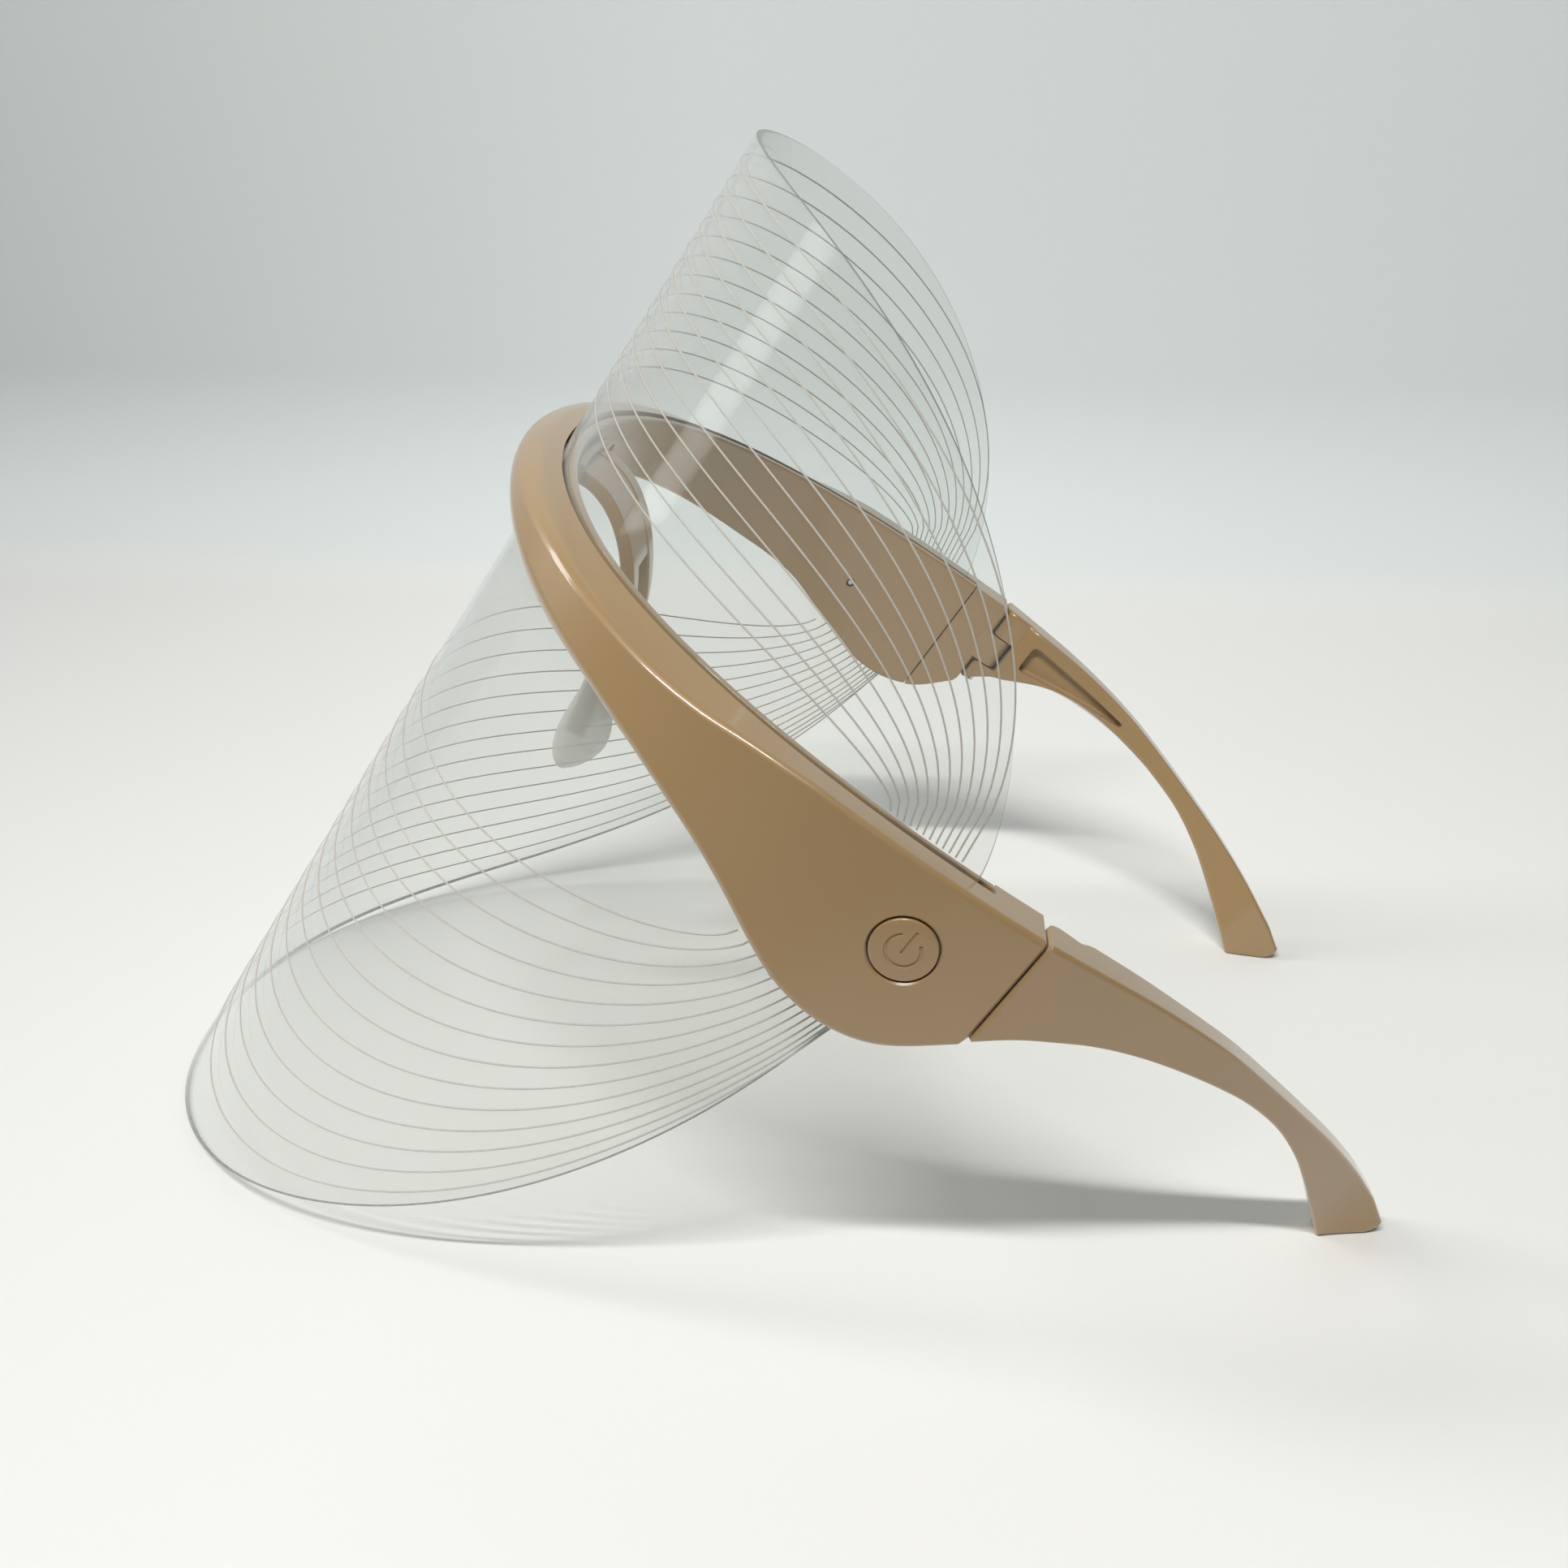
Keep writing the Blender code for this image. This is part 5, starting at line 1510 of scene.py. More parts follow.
class GuidedTree:
    """Geometry Nodes tree whose points are laid on the sheet's outer face."""

    def __init__(self, name: str, inputs: Sequence[tuple[str, str]]) -> None:
        """Starts the tree.

        Args:
            name: Name of the tree.
            inputs: Name and socket type of each input after the geometry.
        """
        self.tree = bpy.data.node_groups.new(name, "GeometryNodeTree")
        face = self.tree.interface
        face.new_socket("Geometry", in_out="INPUT", socket_type="NodeSocketGeometry")
        for label, kind in (("Guide", "NodeSocketObject"), ("Material", "NodeSocketMaterial"),
                            *inputs):
            face.new_socket(label, in_out="INPUT", socket_type=kind)
        face.new_socket("Geometry", in_out="OUTPUT", socket_type="NodeSocketGeometry")
        self.graph = Graph(self.tree)
        self.inputs = self.graph.node("NodeGroupInput")
        guide = self.graph.node("GeometryNodeObjectInfo", object=self.input("Guide"))
        self.curve = self.graph.node("GeometryNodeMeshToCurve", mesh=guide.outputs["Geometry"])

    def input(self, name: str) -> bpy.types.NodeSocket:
        """One of the tree's inputs."""
        return self.inputs.outputs[name]

    def number(self, name: str) -> Value:
        """One of the tree's number inputs, for maths."""
        return Value(self.graph, self.input(name))

    def stored(self, name: str, kind: str = "FLOAT") -> bpy.types.NodeSocket:
        """A named attribute of the points."""
        node = self.graph.node("GeometryNodeInputNamedAttribute", {"data_type": kind}, name=name)
        return live(node.outputs, "Attribute")

    def sample(self, share: Value, name: str, kind: str) -> bpy.types.Node:
        """Reads the guide.

        Args:
            share: Share of the guide's whole length.
            name: Attribute that is read beside the position.
            kind: Its type.

        Returns:
            The sampling node.
        """
        settings = {"data_type": kind, "mode": "FACTOR", "use_all_curves": True}
        node = self.graph.node("GeometryNodeSampleCurve", settings)
        self.graph.feed(live(node.inputs, "Curves"), self.curve.outputs[0])
        self.graph.feed(live(node.inputs, "Value"), self.stored(name, kind))
        self.graph.feed(live(node.inputs, "Factor"), share)
        return node

    def reach(self, run: Value) -> Value:
        """Share of the guide for a run from -1 to 1."""
        return (run * 0.5 + 0.5).clamped()

    def on_sheet(self, run: Value, height: Value) -> Value:
        """Point on the sheet's outer face.

        Args:
            run: Place along the guide, from -1 to 1.
            height: Height above the frame's top.

        Returns:
            The position.
        """
        share = self.reach(run)
        way = self.sample(share, "inward", "FLOAT_VECTOR")
        deep = live(self.sample(share, "inset", "FLOAT").outputs, "Value")
        across = self.graph.vector("SCALE", live(way.outputs, "Value"), deep)
        up = self.graph.node("ShaderNodeCombineXYZ", z=height)
        flat = self.graph.vector("ADD", way.outputs["Position"], across)
        return self.graph.vector("ADD", flat, up.outputs[0])

    def finish(self, geometry: bpy.types.NodeSocket) -> bpy.types.NodeTree:
        """Realizes the geometry, sets its material and ends the tree.

        Args:
            geometry: The geometry so far.

        Returns:
            The tree.
        """
        real = self.graph.node("GeometryNodeRealizeInstances", geometry=geometry)
        dressed = self.graph.node("GeometryNodeSetMaterial", geometry=real.outputs[0],
                                  material=self.input("Material"))
        self.graph.node("NodeGroupOutput", geometry=dressed.outputs[0])
        return self.tree

    @staticmethod
    def attach(piece: bpy.types.Object, tree: bpy.types.NodeTree, **values: object) -> None:
        """Puts the tree on an object as a modifier, with its inputs set.

        Args:
            piece: The object.
            tree: The tree.
            values: Input values by name.
        """
        step = piece.modifiers.new(tree.name, "NODES")
        step.node_group = tree
        for item in tree.interface.items_tree:
            if item.in_out == "INPUT" and item.name in values:
                step[item.identifier] = values[item.name]


@dataclass(frozen=True)
class LineFamily:
    """Engraved lines above or below the brow, which change evenly from one to the next."""

    count: int
    reach: float
    narrowing: Pair
    start: float
    front: float
    spacing: float
    powers: Pair
    drop: float = 0.0

    def sizes(self) -> list[dict[str, float]]:
        """Where each line ends and how it bends."""
        return [{
            "end": self.reach - self.narrowing[0] * n - self.narrowing[1] * n**2,
            "low": self.start - self.drop * n,
            "high": self.front + self.spacing * n,
            "run": self.powers[0],
            "rise": self.powers[1],
        } for n in range(1, self.count + 1)]


@dataclass
class VisorSheet:
    """The clear sheet with its engraved lines."""

    section: BrowSection
    shells: FrameShells
    above: float = 0.0550
    below: float = 0.1422
    top_powers: Pair = (3.8, 1.4)
    low_powers: Pair = (2.0, 2.0)
    columns: int = 241
    rows: int = 25
    screw_clearance: float = 0.0009
    hole_reach: Pair = (0.002, 0.004)
    line_width: float = 0.00028
    line_steps: int = 221
    lower: LineFamily = LineFamily(14, 0.9988, (0.00172, 0.00073), -0.0158, -0.1344, 0.00626,
                                   (2.9, 1.42), 0.00074)
    upper: LineFamily = LineFamily(12, 0.98235, (0.00828, 0.0), 0.0011, 0.05436, -0.00373,
                                   (3.8, 1.86))

    def tree(self) -> bpy.types.NodeTree:
        """Sheet as a grid bent along the guide between two superellipse edges.

        Returns:
            The tree.
        """
        numbers = ("Above", "Below", "Top Run", "Top Rise", "Low Run", "Low Rise", "Wall")
        made = GuidedTree("bent_sheet", [(n, "NodeSocketFloat") for n in numbers])
        graph = made.graph
        grid = graph.node("GeometryNodeMeshGrid", size_x=2.0, size_y=1.0,
                          vertices_x=self.columns, vertices_y=self.rows)
        at = graph.node("GeometryNodeInputPosition")
        split = graph.node("ShaderNodeSeparateXYZ", i0=at.outputs[0])
        run = (graph.value(split, "X") * (math.pi / 2)).math("SINE")
        share = run.math("ABSOLUTE")

        def edge(power: str, rise: str) -> Value:
            """Height share of an edge at the share of the run."""
            left = (1 - share ** made.number(power)).math("MAXIMUM", 0.0)
            return left ** (1 / made.number(rise))

        top = (edge("Top Run", "Top Rise") * made.number("Above")).math(
            "MAXIMUM", made.number("Wall") * -1)
        floor = live(made.sample(made.reach(run), "floor", "FLOAT").outputs, "Value")
        low = (edge("Low Run", "Low Rise") * made.number("Below") * -1).math("MINIMUM", floor)
        height = low + (top - low) * (graph.value(split, "Y") + 0.5)
        moved = graph.node("GeometryNodeSetPosition", geometry=grid.outputs[0],
                           position=made.on_sheet(run, height))
        return made.finish(moved.outputs[0])

    def line_tree(self) -> bpy.types.NodeTree:
        """Engraved lines: one per point, from the sizes stored on the points.

        Returns:
            The tree.
        """
        made = GuidedTree("engraved_lines", [("Width", "NodeSocketFloat"),
                                             ("Steps", "NodeSocketInt")])
        graph = made.graph
        straight = graph.node("GeometryNodeCurvePrimitiveLine")
        straight.inputs["Start"].default_value = (-1, 0, 0)
        straight.inputs["End"].default_value = (1, 0, 0)
        fine = graph.node("GeometryNodeResampleCurve", curve=straight.outputs[0],
                          count=made.input("Steps"))
        copies = graph.node("GeometryNodeInstanceOnPoints", points=made.input("Geometry"),
                            instance=fine.outputs[0])
        real = graph.node("GeometryNodeRealizeInstances", geometry=copies.outputs[0])
        at = graph.node("GeometryNodeInputPosition")
        across = graph.value(graph.node("ShaderNodeSeparateXYZ", i0=at.outputs[0]), "X")
        end, low, high, run, rise = (
            Value(graph, made.stored(name)) for name in ("end", "low", "high", "run", "rise")
        )
        left = (1 - across.math("ABSOLUTE") ** run).math("MAXIMUM", 0.0)
        height = low + (high - low) * left ** (1 / rise)
        place = made.on_sheet(across * end, height)
        moved = graph.node("GeometryNodeSetPosition", geometry=real.outputs[0], position=place)
        ring = graph.node("GeometryNodeCurvePrimitiveCircle", resolution=6,
                          radius=made.number("Width") / 2)
        tube = graph.node("GeometryNodeCurveToMesh", curve=moved.outputs[0],
                          profile_curve=ring.outputs[0], fill_caps=True)
        smooth_tube = graph.node("GeometryNodeSetShadeSmooth", geometry=tube.outputs[0])
        return made.finish(smooth_tube.outputs[0])

    def holes(self, shop: Workshop) -> list[bpy.types.Object]:
        """Cutters for the screws that pass through the sheet."""
        before, behind = self.hole_reach
        return [self.shells.wall_rod(shop, at, self.screw_clearance,
                                     self.section.groove(at[0]) - before,
                                     self.section.groove(at[0]) + behind)
                for at in self.shells.screws()]

    def build(self, shop: Workshop) -> None:
        """Makes the sheet and its lines.

        Args:
            shop: The workshop.
        """
        guide = SheetGuide(self.section).build()
        self.sheet(shop, guide)
        self.lines(shop, guide)
        bpy.data.objects.remove(guide)

    def sheet(self, shop: Workshop, guide: bpy.types.Object) -> None:
        """Makes the sheet.

        Args:
            shop: The workshop.
            guide: The line that it follows.
        """
        sheet = in_scene("sheet", bpy.data.meshes.new("sheet"))
        clear = shop.finishes.by_slot["clear_sheet"]
        GuidedTree.attach(sheet, self.tree(), Guide=guide, Material=clear, **{
            "Above": self.above, "Below": self.below, "Wall": self.section.outer_wall,
            "Top Run": self.top_powers[0], "Top Rise": self.top_powers[1],
            "Low Run": self.low_powers[0], "Low Rise": self.low_powers[1],
        })
        shop.dress(shop.settle(sheet), clear, shop.finishes.rim)
        thick = sheet.modifiers.new("thickness", "SOLIDIFY")
        thick.thickness = self.section.sheet_thickness
        thick.offset = -1
        thick.use_rim = True
        thick.material_offset_rim = 1
        shop.settle(sheet)
        shop.cut(sheet, *self.holes(shop))
        shop.hand_in(sheet, "clear_sheet", Body.FRAME, ["visor_sheet"], dressed=True,
                     angle=40)

    def lines(self, shop: Workshop, guide: bpy.types.Object) -> None:
        """Makes the engraved lines.

        Args:
            shop: The workshop.
            guide: The line that they follow.
        """
        sizes = self.lower.sizes() + self.upper.sizes()
        mesh = bpy.data.meshes.new("engraved_lines")
        mesh.from_pydata([(0, 0, 0)] * len(sizes), [], [])
        for key in sizes[0]:
            stored = mesh.attributes.new(key, "FLOAT", "POINT")
            stored.data.foreach_set("value", [size[key] for size in sizes])
        lines = in_scene("engraved_lines", mesh)
        GuidedTree.attach(lines, self.line_tree(), Guide=guide, Material=shop.finishes.line,
                          Width=self.line_width, Steps=self.line_steps)
        shop.dress(shop.settle(lines), shop.finishes.line)
        shop.hand_in(lines, "clear_sheet", Body.FRAME, dressed=True)


@dataclass
class TempleArms:
    """The two folding arms."""

    section: BrowSection
    hinges: Hinges
    lean: float
    reach: float = 0.0807
    drop: float = 0.0265
    tip_half_span: float = 0.0465
    bow: float = 0.0071
    tip_turn: Pair = (0.90, 1.00)
    tip_lean: float = 0.20
    waist: float = 0.0056
    waist_share: float = 0.4
    tip: float = 0.0048
    edge: float = 0.0008
    lift: float = 0.0020
    lift_rise: float = 0.25
    lift_end: float = 0.62
    lift_fall: float = 0.35
    seam_step: float = 0.0006
    seam_chamfer: float = 0.0005
    sole: float = 0.0072
    toe: Pair = (0.0008, 0.0007)
    heel: Pair = (0.0012, 0.0010)
    heel_thickness: float = 0.0019
    pocket: Pair = (0.0090, 0.0244)
    pocket_heights: Pair = (0.0067, 0.0009)
    pocket_depth: float = 0.0018
    pocket_drop: float = 0.0029
    pocket_rise: float = 0.0008
    pocket_over: float = 0.002
    pocket_round: float = 0.45
    pocket_mouth: Pair = (0.05, 0.6)
    pocket_steps: int = 24
    neck: float = 2.7
    sole_start: float = 0.975
    end_shares: tuple[float, ...] = (0.2, 0.4, 0.6, 0.8, 1.0)
    top_edge: tuple[Pair, ...] = (
        (0.00, 0.000), (0.05, 0.004), (0.20, 0.022), (0.28, 0.042), (0.36, 0.072),
        (0.45, 0.120), (0.56, 0.205), (0.675, 0.305), (0.79, 0.415), (0.90, 0.545),
        (1.00, 0.690),
    )
    low_edge: tuple[Pair, ...] = (
        (0.069, 0.576), (0.133, 0.487), (0.200, 0.411), (0.276, 0.362), (0.360, 0.338),
        (0.457, 0.336), (0.545, 0.360), (0.644, 0.440), (0.737, 0.580), (0.815, 0.740),
        (0.880, 0.890),
    )

    def outer(self, back: float) -> float:
        """Distance of the outer face from the middle plane, behind the seam.

        Args:
            back: Distance behind the seam.

        Returns:
            The distance.
        """
        share = back / self.reach
        start, end = self.tip_turn
        turn = min(max((share - start) / (end - start), 0), 1)
        bent = min(share, start) + (end - start) * turn * (1 - turn / 2)
        straight = mix(self.section.curve.half_width, self.tip_half_span, bent)
        tip = self.tip_lean * self.reach * (share - bent)
        return straight + self.bow * 2 * bent * (1 - bent) - tip

    def thickness(self, back: float) -> float:
        """Thickness, full at the hinge and slim from the waist on.

        Args:
            back: Distance behind the seam.

        Returns:
            The thickness there.
        """
        share = back / self.reach
        at = self.waist_share
        waist = mix(self.section.seam_thickness, self.waist, smooth(share / at))
        return mix(waist, self.tip, smooth((share - at) / (1 - at)))

    def inner(self, back: float) -> float:
        """Distance of the inner face, rounded about the hinge's axis.

        Args:
            back: Distance behind the seam.

        Returns:
            The distance from the middle plane.
        """
        radius = self.hinges.radius
        setback = back - self.hinges.setback
        knuckle = self.section.curve.half_width - self.section.seam_thickness
        if setback < 0:
            return knuckle + radius - math.sqrt(radius**2 - setback**2)
        share = smooth((setback - radius - self.section.gap) / radius)
        return mix(knuckle, self.outer(back) - self.thickness(back), share)

    def sole_point(self, along: float, lift: float = 0.0) -> Pair:
        """Point of the sole: distance behind the seam and height."""
        return (self.reach + along * math.cos(self.lean),
                along * math.sin(self.lean) - self.drop + lift)

    def toe_point(self, share: float) -> Pair:
        """Point of the rounded toe."""
        return self.sole_point(-self.sole / 2 - self.toe[0] * share, self.toe[1] * share**2)

    def heel_point(self, share: float) -> Pair:
        """Point of the rounded heel."""
        return self.sole_point(self.sole / 2 + self.heel[0] * share, self.heel[1] * share**2)

    def top(self, back: float) -> float:
        """Height of the upper edge.

        Args:
            back: Distance behind the seam.

        Returns:
            The height above the frame's top.
        """
        share = back / self.reach
        if share <= 1:
            return -self.drop * interpolate(self.top_edge, share)
        tip, height = self.heel_point(1)
        neck = -self.drop * self.top_edge[-1][1]
        return mix(neck, height + self.heel_thickness, (back - self.reach) / (tip - self.reach))

    def profile(self) -> list[Pair]:
        """Stations: distance behind the seam and height of the lower edge.

        Returns:
            The stations, from the seam to the heel.
        """
        front, height = self.toe_point(1)
        seam = 2 * self.hinges.drop - self.seam_step
        table = ((0.0, seam / self.drop), *self.low_edge,
                 (front / self.reach, -height / self.drop))
        gap, setback = self.section.gap, self.hinges.setback
        chamfer = gap + self.seam_chamfer
        neck = self.neck * setback
        backs = [gap, chamfer, *evenly(chamfer, neck, 22)[1:]]
        backs += evenly(neck, self.sole_start * front, 66)[1:]
        stations = [(b, -self.drop * interpolate(table, b / self.reach)) for b in backs]
        stations += [self.toe_point(s) for s in reversed(self.end_shares)]
        stations += [self.sole_point(a) for a in evenly(-self.sole / 2, self.sole / 2, 6)]
        return stations + [self.heel_point(s) for s in self.end_shares]

    def ring(self, side: Side, back: float, low: float) -> Ring:
        """Cross-section of an arm.

        Args:
            side: The side.
            back: Distance behind the seam.
            low: Height of the lower edge.

        Returns:
            The points.
        """
        inset = max(self.seam_chamfer + self.section.gap - back, 0.0)
        inside, outside = self.inner(back) + inset / 2, self.outer(back) - inset
        low, top = low + inset, self.top(back) - inset
        share = back / self.reach
        lift = self.lift * smooth(share / self.lift_rise)
        lift *= smooth((self.lift_end - share) / self.lift_fall)
        radius = min(self.edge, (top - low) / 3, (outside - inside) / 3)
        ring = []
        for x, z in rounded_rectangle((inside, low), (outside, top), radius):
            raised = lift * (outside - x) / (outside - inside) if z < (low + top) / 2 else 0
            ring.append(Vector((side.value * x, self.section.curve.seam_back + back,
                                z + raised)))
        return ring

    def pocket_room(self, shop: Workshop, side: Side) -> bpy.types.Object:
        """Cutter for the teardrop recess in the inner face.

        Args:
            shop: The workshop.
            side: The side.

        Returns:
            The cutter.
        """
        rings = []
        start, length = self.pocket
        full, tip = self.pocket_heights
        mouth, slim = self.pocket_mouth
        for i in range(self.pocket_steps + 1):
            share = (1 - math.cos(math.pi * i / self.pocket_steps)) / 2
            back = start + length * share
            round_end = math.sqrt(max(1 - (1 - min(share / mouth, 1)) ** 2, 0.0))
            half = mix(full, tip, share) / 2 * mix(slim, 1, round_end)
            middle = self.pocket_rise * math.sin(math.pi / 2 * share)
            middle -= self.pocket_drop + full / 2
            inside = self.inner(back)
            outline = rounded_rectangle((inside - self.pocket_over, middle - half),
                                        (inside + self.pocket_depth, middle + half),
                                        min(half, self.pocket_depth) * self.pocket_round)
            rings.append([Vector((side.value * x, self.section.curve.seam_back + back, z))
                          for x, z in outline])
        return shop.loft(f"{side.word}_pocket", rings)

    def build(self, shop: Workshop) -> None:
        """Makes both arms.

        Args:
            shop: The workshop.
        """
        for side in Side:
            rings = [self.ring(side, *at) for at in self.profile()]
            piece = shop.loft(f"{side.word}_arm", rings)
            shop.cut(piece, self.hinges.slot(shop, side), self.hinges.bore(shop, side),
                     self.pocket_room(shop, side))
            shop.hand_in(piece, "frame_plastic", Body[f"{side.name}_ARM"],
                         [f"temple_arm_{side.word}"])


@dataclass
class PowerButton:
    """Round cap with an engraved power sign."""

    section: BrowSection
    shells: FrameShells
    flange: float = 0.0006
    flange_thickness: float = 0.0004
    edge: float = 0.0003
    sign_radius: float = 0.0024
    sign_opening: float = 38.0
    bar: Pair = (-0.0005, 0.0033)
    groove: Pair = (0.00026, 0.00014)
    groove_depth: float = 0.00022

    def groove_ring(self, place: Matrix, middle: Vector, along: Vector) -> Ring:
        """Cross-section of an engraved groove.

        Args:
            place: The button's axes.
            middle: Point of the groove's middle line on the face.
            along: Unit direction of the groove.

        Returns:
            The points.
        """
        wide, slim = self.groove
        slope = (wide - slim) / self.groove_depth
        over = self.groove_depth
        across = Vector((-along.y, along.x, 0))
        corners = ((wide + slope * over, over), (slim, -self.groove_depth))
        outline = [(-corners[0][0], over), (corners[0][0], over),
                   corners[1], (-corners[1][0], corners[1][1])]
        return [place @ (middle + across * x + Vector((0, 0, z))) for x, z in outline]

    def build(self, shop: Workshop) -> None:
        """Makes the button.

        Args:
            shop: The workshop.
        """
        section, shells = self.section, self.shells
        arc = section.curve.length - shells.button_ahead
        turn = Matrix.Rotation(-math.pi / 2, 4, "Y")
        place = section.curve.axes(arc, 0, -shells.button_drop) @ turn
        radius, edge = shells.button_radius, self.edge
        top = -section.outer_wall - section.gap
        low = top - self.flange_thickness
        wide = radius + self.flange + section.gap
        rim = quarter((radius - edge, -edge), (edge, edge), 0, steps=5)[::-1]
        profile = [(0, 0), (radius / 2, 0), *rim, (radius, top), (wide, top), (wide, low), (0, low)]
        piece = shop.turned("button_cap", profile, place, steps=128)
        angles = [math.radians(a) for a in
                  evenly(self.sign_opening, 360 - self.sign_opening, 60)]
        circle = [self.groove_ring(place, self.sign_radius * Vector((math.cos(a), math.sin(a), 0)),
                                   Vector((-math.sin(a), math.cos(a), 0))) for a in angles]
        bar = [self.groove_ring(place, Vector((x, 0, 0)), Vector((1, 0, 0))) for x in self.bar]
        shop.cut(piece, shop.loft("sign_ring", circle), shop.loft("sign_bar", bar))
        shop.hand_in(piece, "frame_plastic", Body.BUTTON, ["power_button"])


@dataclass
class NoseRest:
    """Nose bridge with two legs, and the soft pads on their stems."""

    section: BrowSection
    shells: FrameShells
    plate_half_width: float = 0.0115
    plate_thickness: float = 0.0016
    plate_top: float = 0.0020
    plate_bottom: float = 0.0094
    plate_edge: float = 0.0005
    web_slim: float = 0.4
    web_run: Pair = (0.02, 0.56)
    web_look: float = 0.01
    leg: Pair = (0.0050, 0.0024)
    stem: Pair = (0.0014, 0.0030)
    spacing: float = 0.0070
    splay: float = 0.0038
    root_drop: float = 0.0046
    crest: Pair = (0.0094, 0.0016)
    bend: Pair = (0.0224, 0.0165)
    foot: Pair = (0.0220, 0.0343)
    stem_run: Pair = (0.0013, 0.0078)
    stem_shares: tuple[float, ...] = (0.15, 0.5, 1.0)
    slim_start: float = 0.6
    slim_run: float = 0.28
    pad_length: float = 0.0182
    pad_half: Pair = (0.0044, 0.0022)
    pad_below: float = 0.0072
    pad_bow: float = 0.0014
    pad_sides: int = 48
    pad_flatness: float = 0.2
    room_start: float = 0.8
    pad_shares: tuple[Pair, ...] = (
        (0.00, 0.50), (0.05, 0.54), (0.16, 0.64), (0.32, 0.84), (0.48, 0.98),
        (0.64, 1.00), (0.78, 0.86), (0.88, 0.66), (0.95, 0.44), (1.00, 0.20),
    )

    def path(self, share: float) -> Vector:
        """Middle line of a leg: distance behind the brow and height.

        Args:
            share: Share of the leg's run, from 0 to 1.

        Returns:
            The point.
        """
        start = self.section.thickness(0) + self.section.gap + self.plate_thickness / 2
        places = ((0, self.root_drop), self.crest, self.bend, self.foot)
        drops = [Vector((back, -drop)) for back, drop in places]
        return cubic(drops, share) + Vector((start, 0))

    def stem_end(self) -> Vector:
        """Lower end of a stem's middle line."""
        return self.path(1) + Vector((self.stem_run[0], -self.stem_run[1]))

    def spine(self, start: float = 0.0) -> list[tuple[Vector, float]]:
        """Points and shares down a leg and its stem.

        Args:
            start: Share of the leg to start from.

        Returns:
            The points with their shares.
        """
        points = [(self.path(s), s) for s in evenly(start, 1, 36)]
        ends = self.path(1), self.stem_end()
        return points + [(ends[0].lerp(ends[1], s), 1 + s) for s in self.stem_shares]

    def spread(self, height: float) -> float:
        """Sideways place of a leg's middle, wider apart lower down."""
        fall = (-height - self.plate_bottom) / (self.foot[1] - self.plate_bottom)
        return self.spacing + self.splay * smooth(fall)

    def section_at(self, side: Side, spine: Sequence[tuple[Vector, float]], i: int,
                   clearance: float = 0.0) -> Ring:
        """Cross-section of a leg or stem at a point of its spine.

        Args:
            side: The side.
            spine: Points and shares of the spine.
            i: Which of them.
            clearance: How much wider than the leg it is, on every side.

        Returns:
            The points.
        """
        point, share = spine[i]
        before, after = spine[max(i - 1, 0)][0], spine[min(i + 1, len(spine) - 1)][0]
        ahead = (after - before).normalized()
        across = Vector((-ahead.y, ahead.x))
        slim = smooth((share - self.slim_start) / self.slim_run)
        half = [mix(a, b, slim) / 2 + clearance for a, b in zip(self.leg, self.stem)]
        outline = rounded_rectangle((-half[0], -half[1]), (half[0], half[1]), min(half) / 2)
        ring = []
        for x, z in outline:
            at = point + across * z
            ring.append(Vector((side.value * (self.spread(point.y) + x), at.x, at.y)))
        return ring

    def web(self, shop: Workshop) -> bpy.types.Object:
        """Saddle between the two legs.

        Args:
            shop: The workshop.

        Returns:
            The solid.
        """
        rings = []
        half = self.leg[1] * self.web_slim
        for share in evenly(*self.web_run, 20):
            point, after = self.path(share), self.path(share + self.web_look)
            ahead = (after - point).normalized()
            across = Vector((-ahead.y, ahead.x)) * half
            ends = point - across, point + across
            wide = self.spread(point.y)
            corners = ((-1, 0), (1, 0), (1, 1), (-1, 1))
            rings.append([Vector((wide * a, ends[b].x, ends[b].y)) for a, b in corners])
        return shop.loft("web", rings)

    def bridge(self, shop: Workshop) -> None:
        """Makes the plate, saddle, legs and stems.

        Args:
            shop: The workshop.
        """
        section, gap = self.section, self.section.gap
        rings = []
        for arc in evenly(-self.plate_half_width, self.plate_half_width, 24):
            near = section.thickness(arc) + gap
            outline = rounded_rectangle((near, -self.plate_bottom),
                                        (near + self.plate_thickness, -self.plate_top),
                                        self.plate_edge)
            rings.append(section.curve.ring(arc, outline))
        piece = shop.loft("nose_rest", rings)
        spine = self.spine()
        legs = [shop.loft(f"{side.word}_leg",
                          [self.section_at(side, spine, i) for i in range(len(spine))])
                for side in Side]
        shop.join(piece, self.web(shop), *legs)
        shells, holes = self.shells, []
        for side in Side:
            arc = side.value * shells.nose_screw[0]
            near = section.thickness(arc)
            far = near + self.plate_thickness + shells.overrun
            holes.append(shells.wall_rod(shop, (arc, shells.nose_screw[1]), shells.screw_hole,
                                         near - shells.short_overrun, far))
        shop.cut(piece, *holes)
        shop.hand_in(piece, "frame_plastic", Body.FRAME, ["nose_bridge"], angle=35)

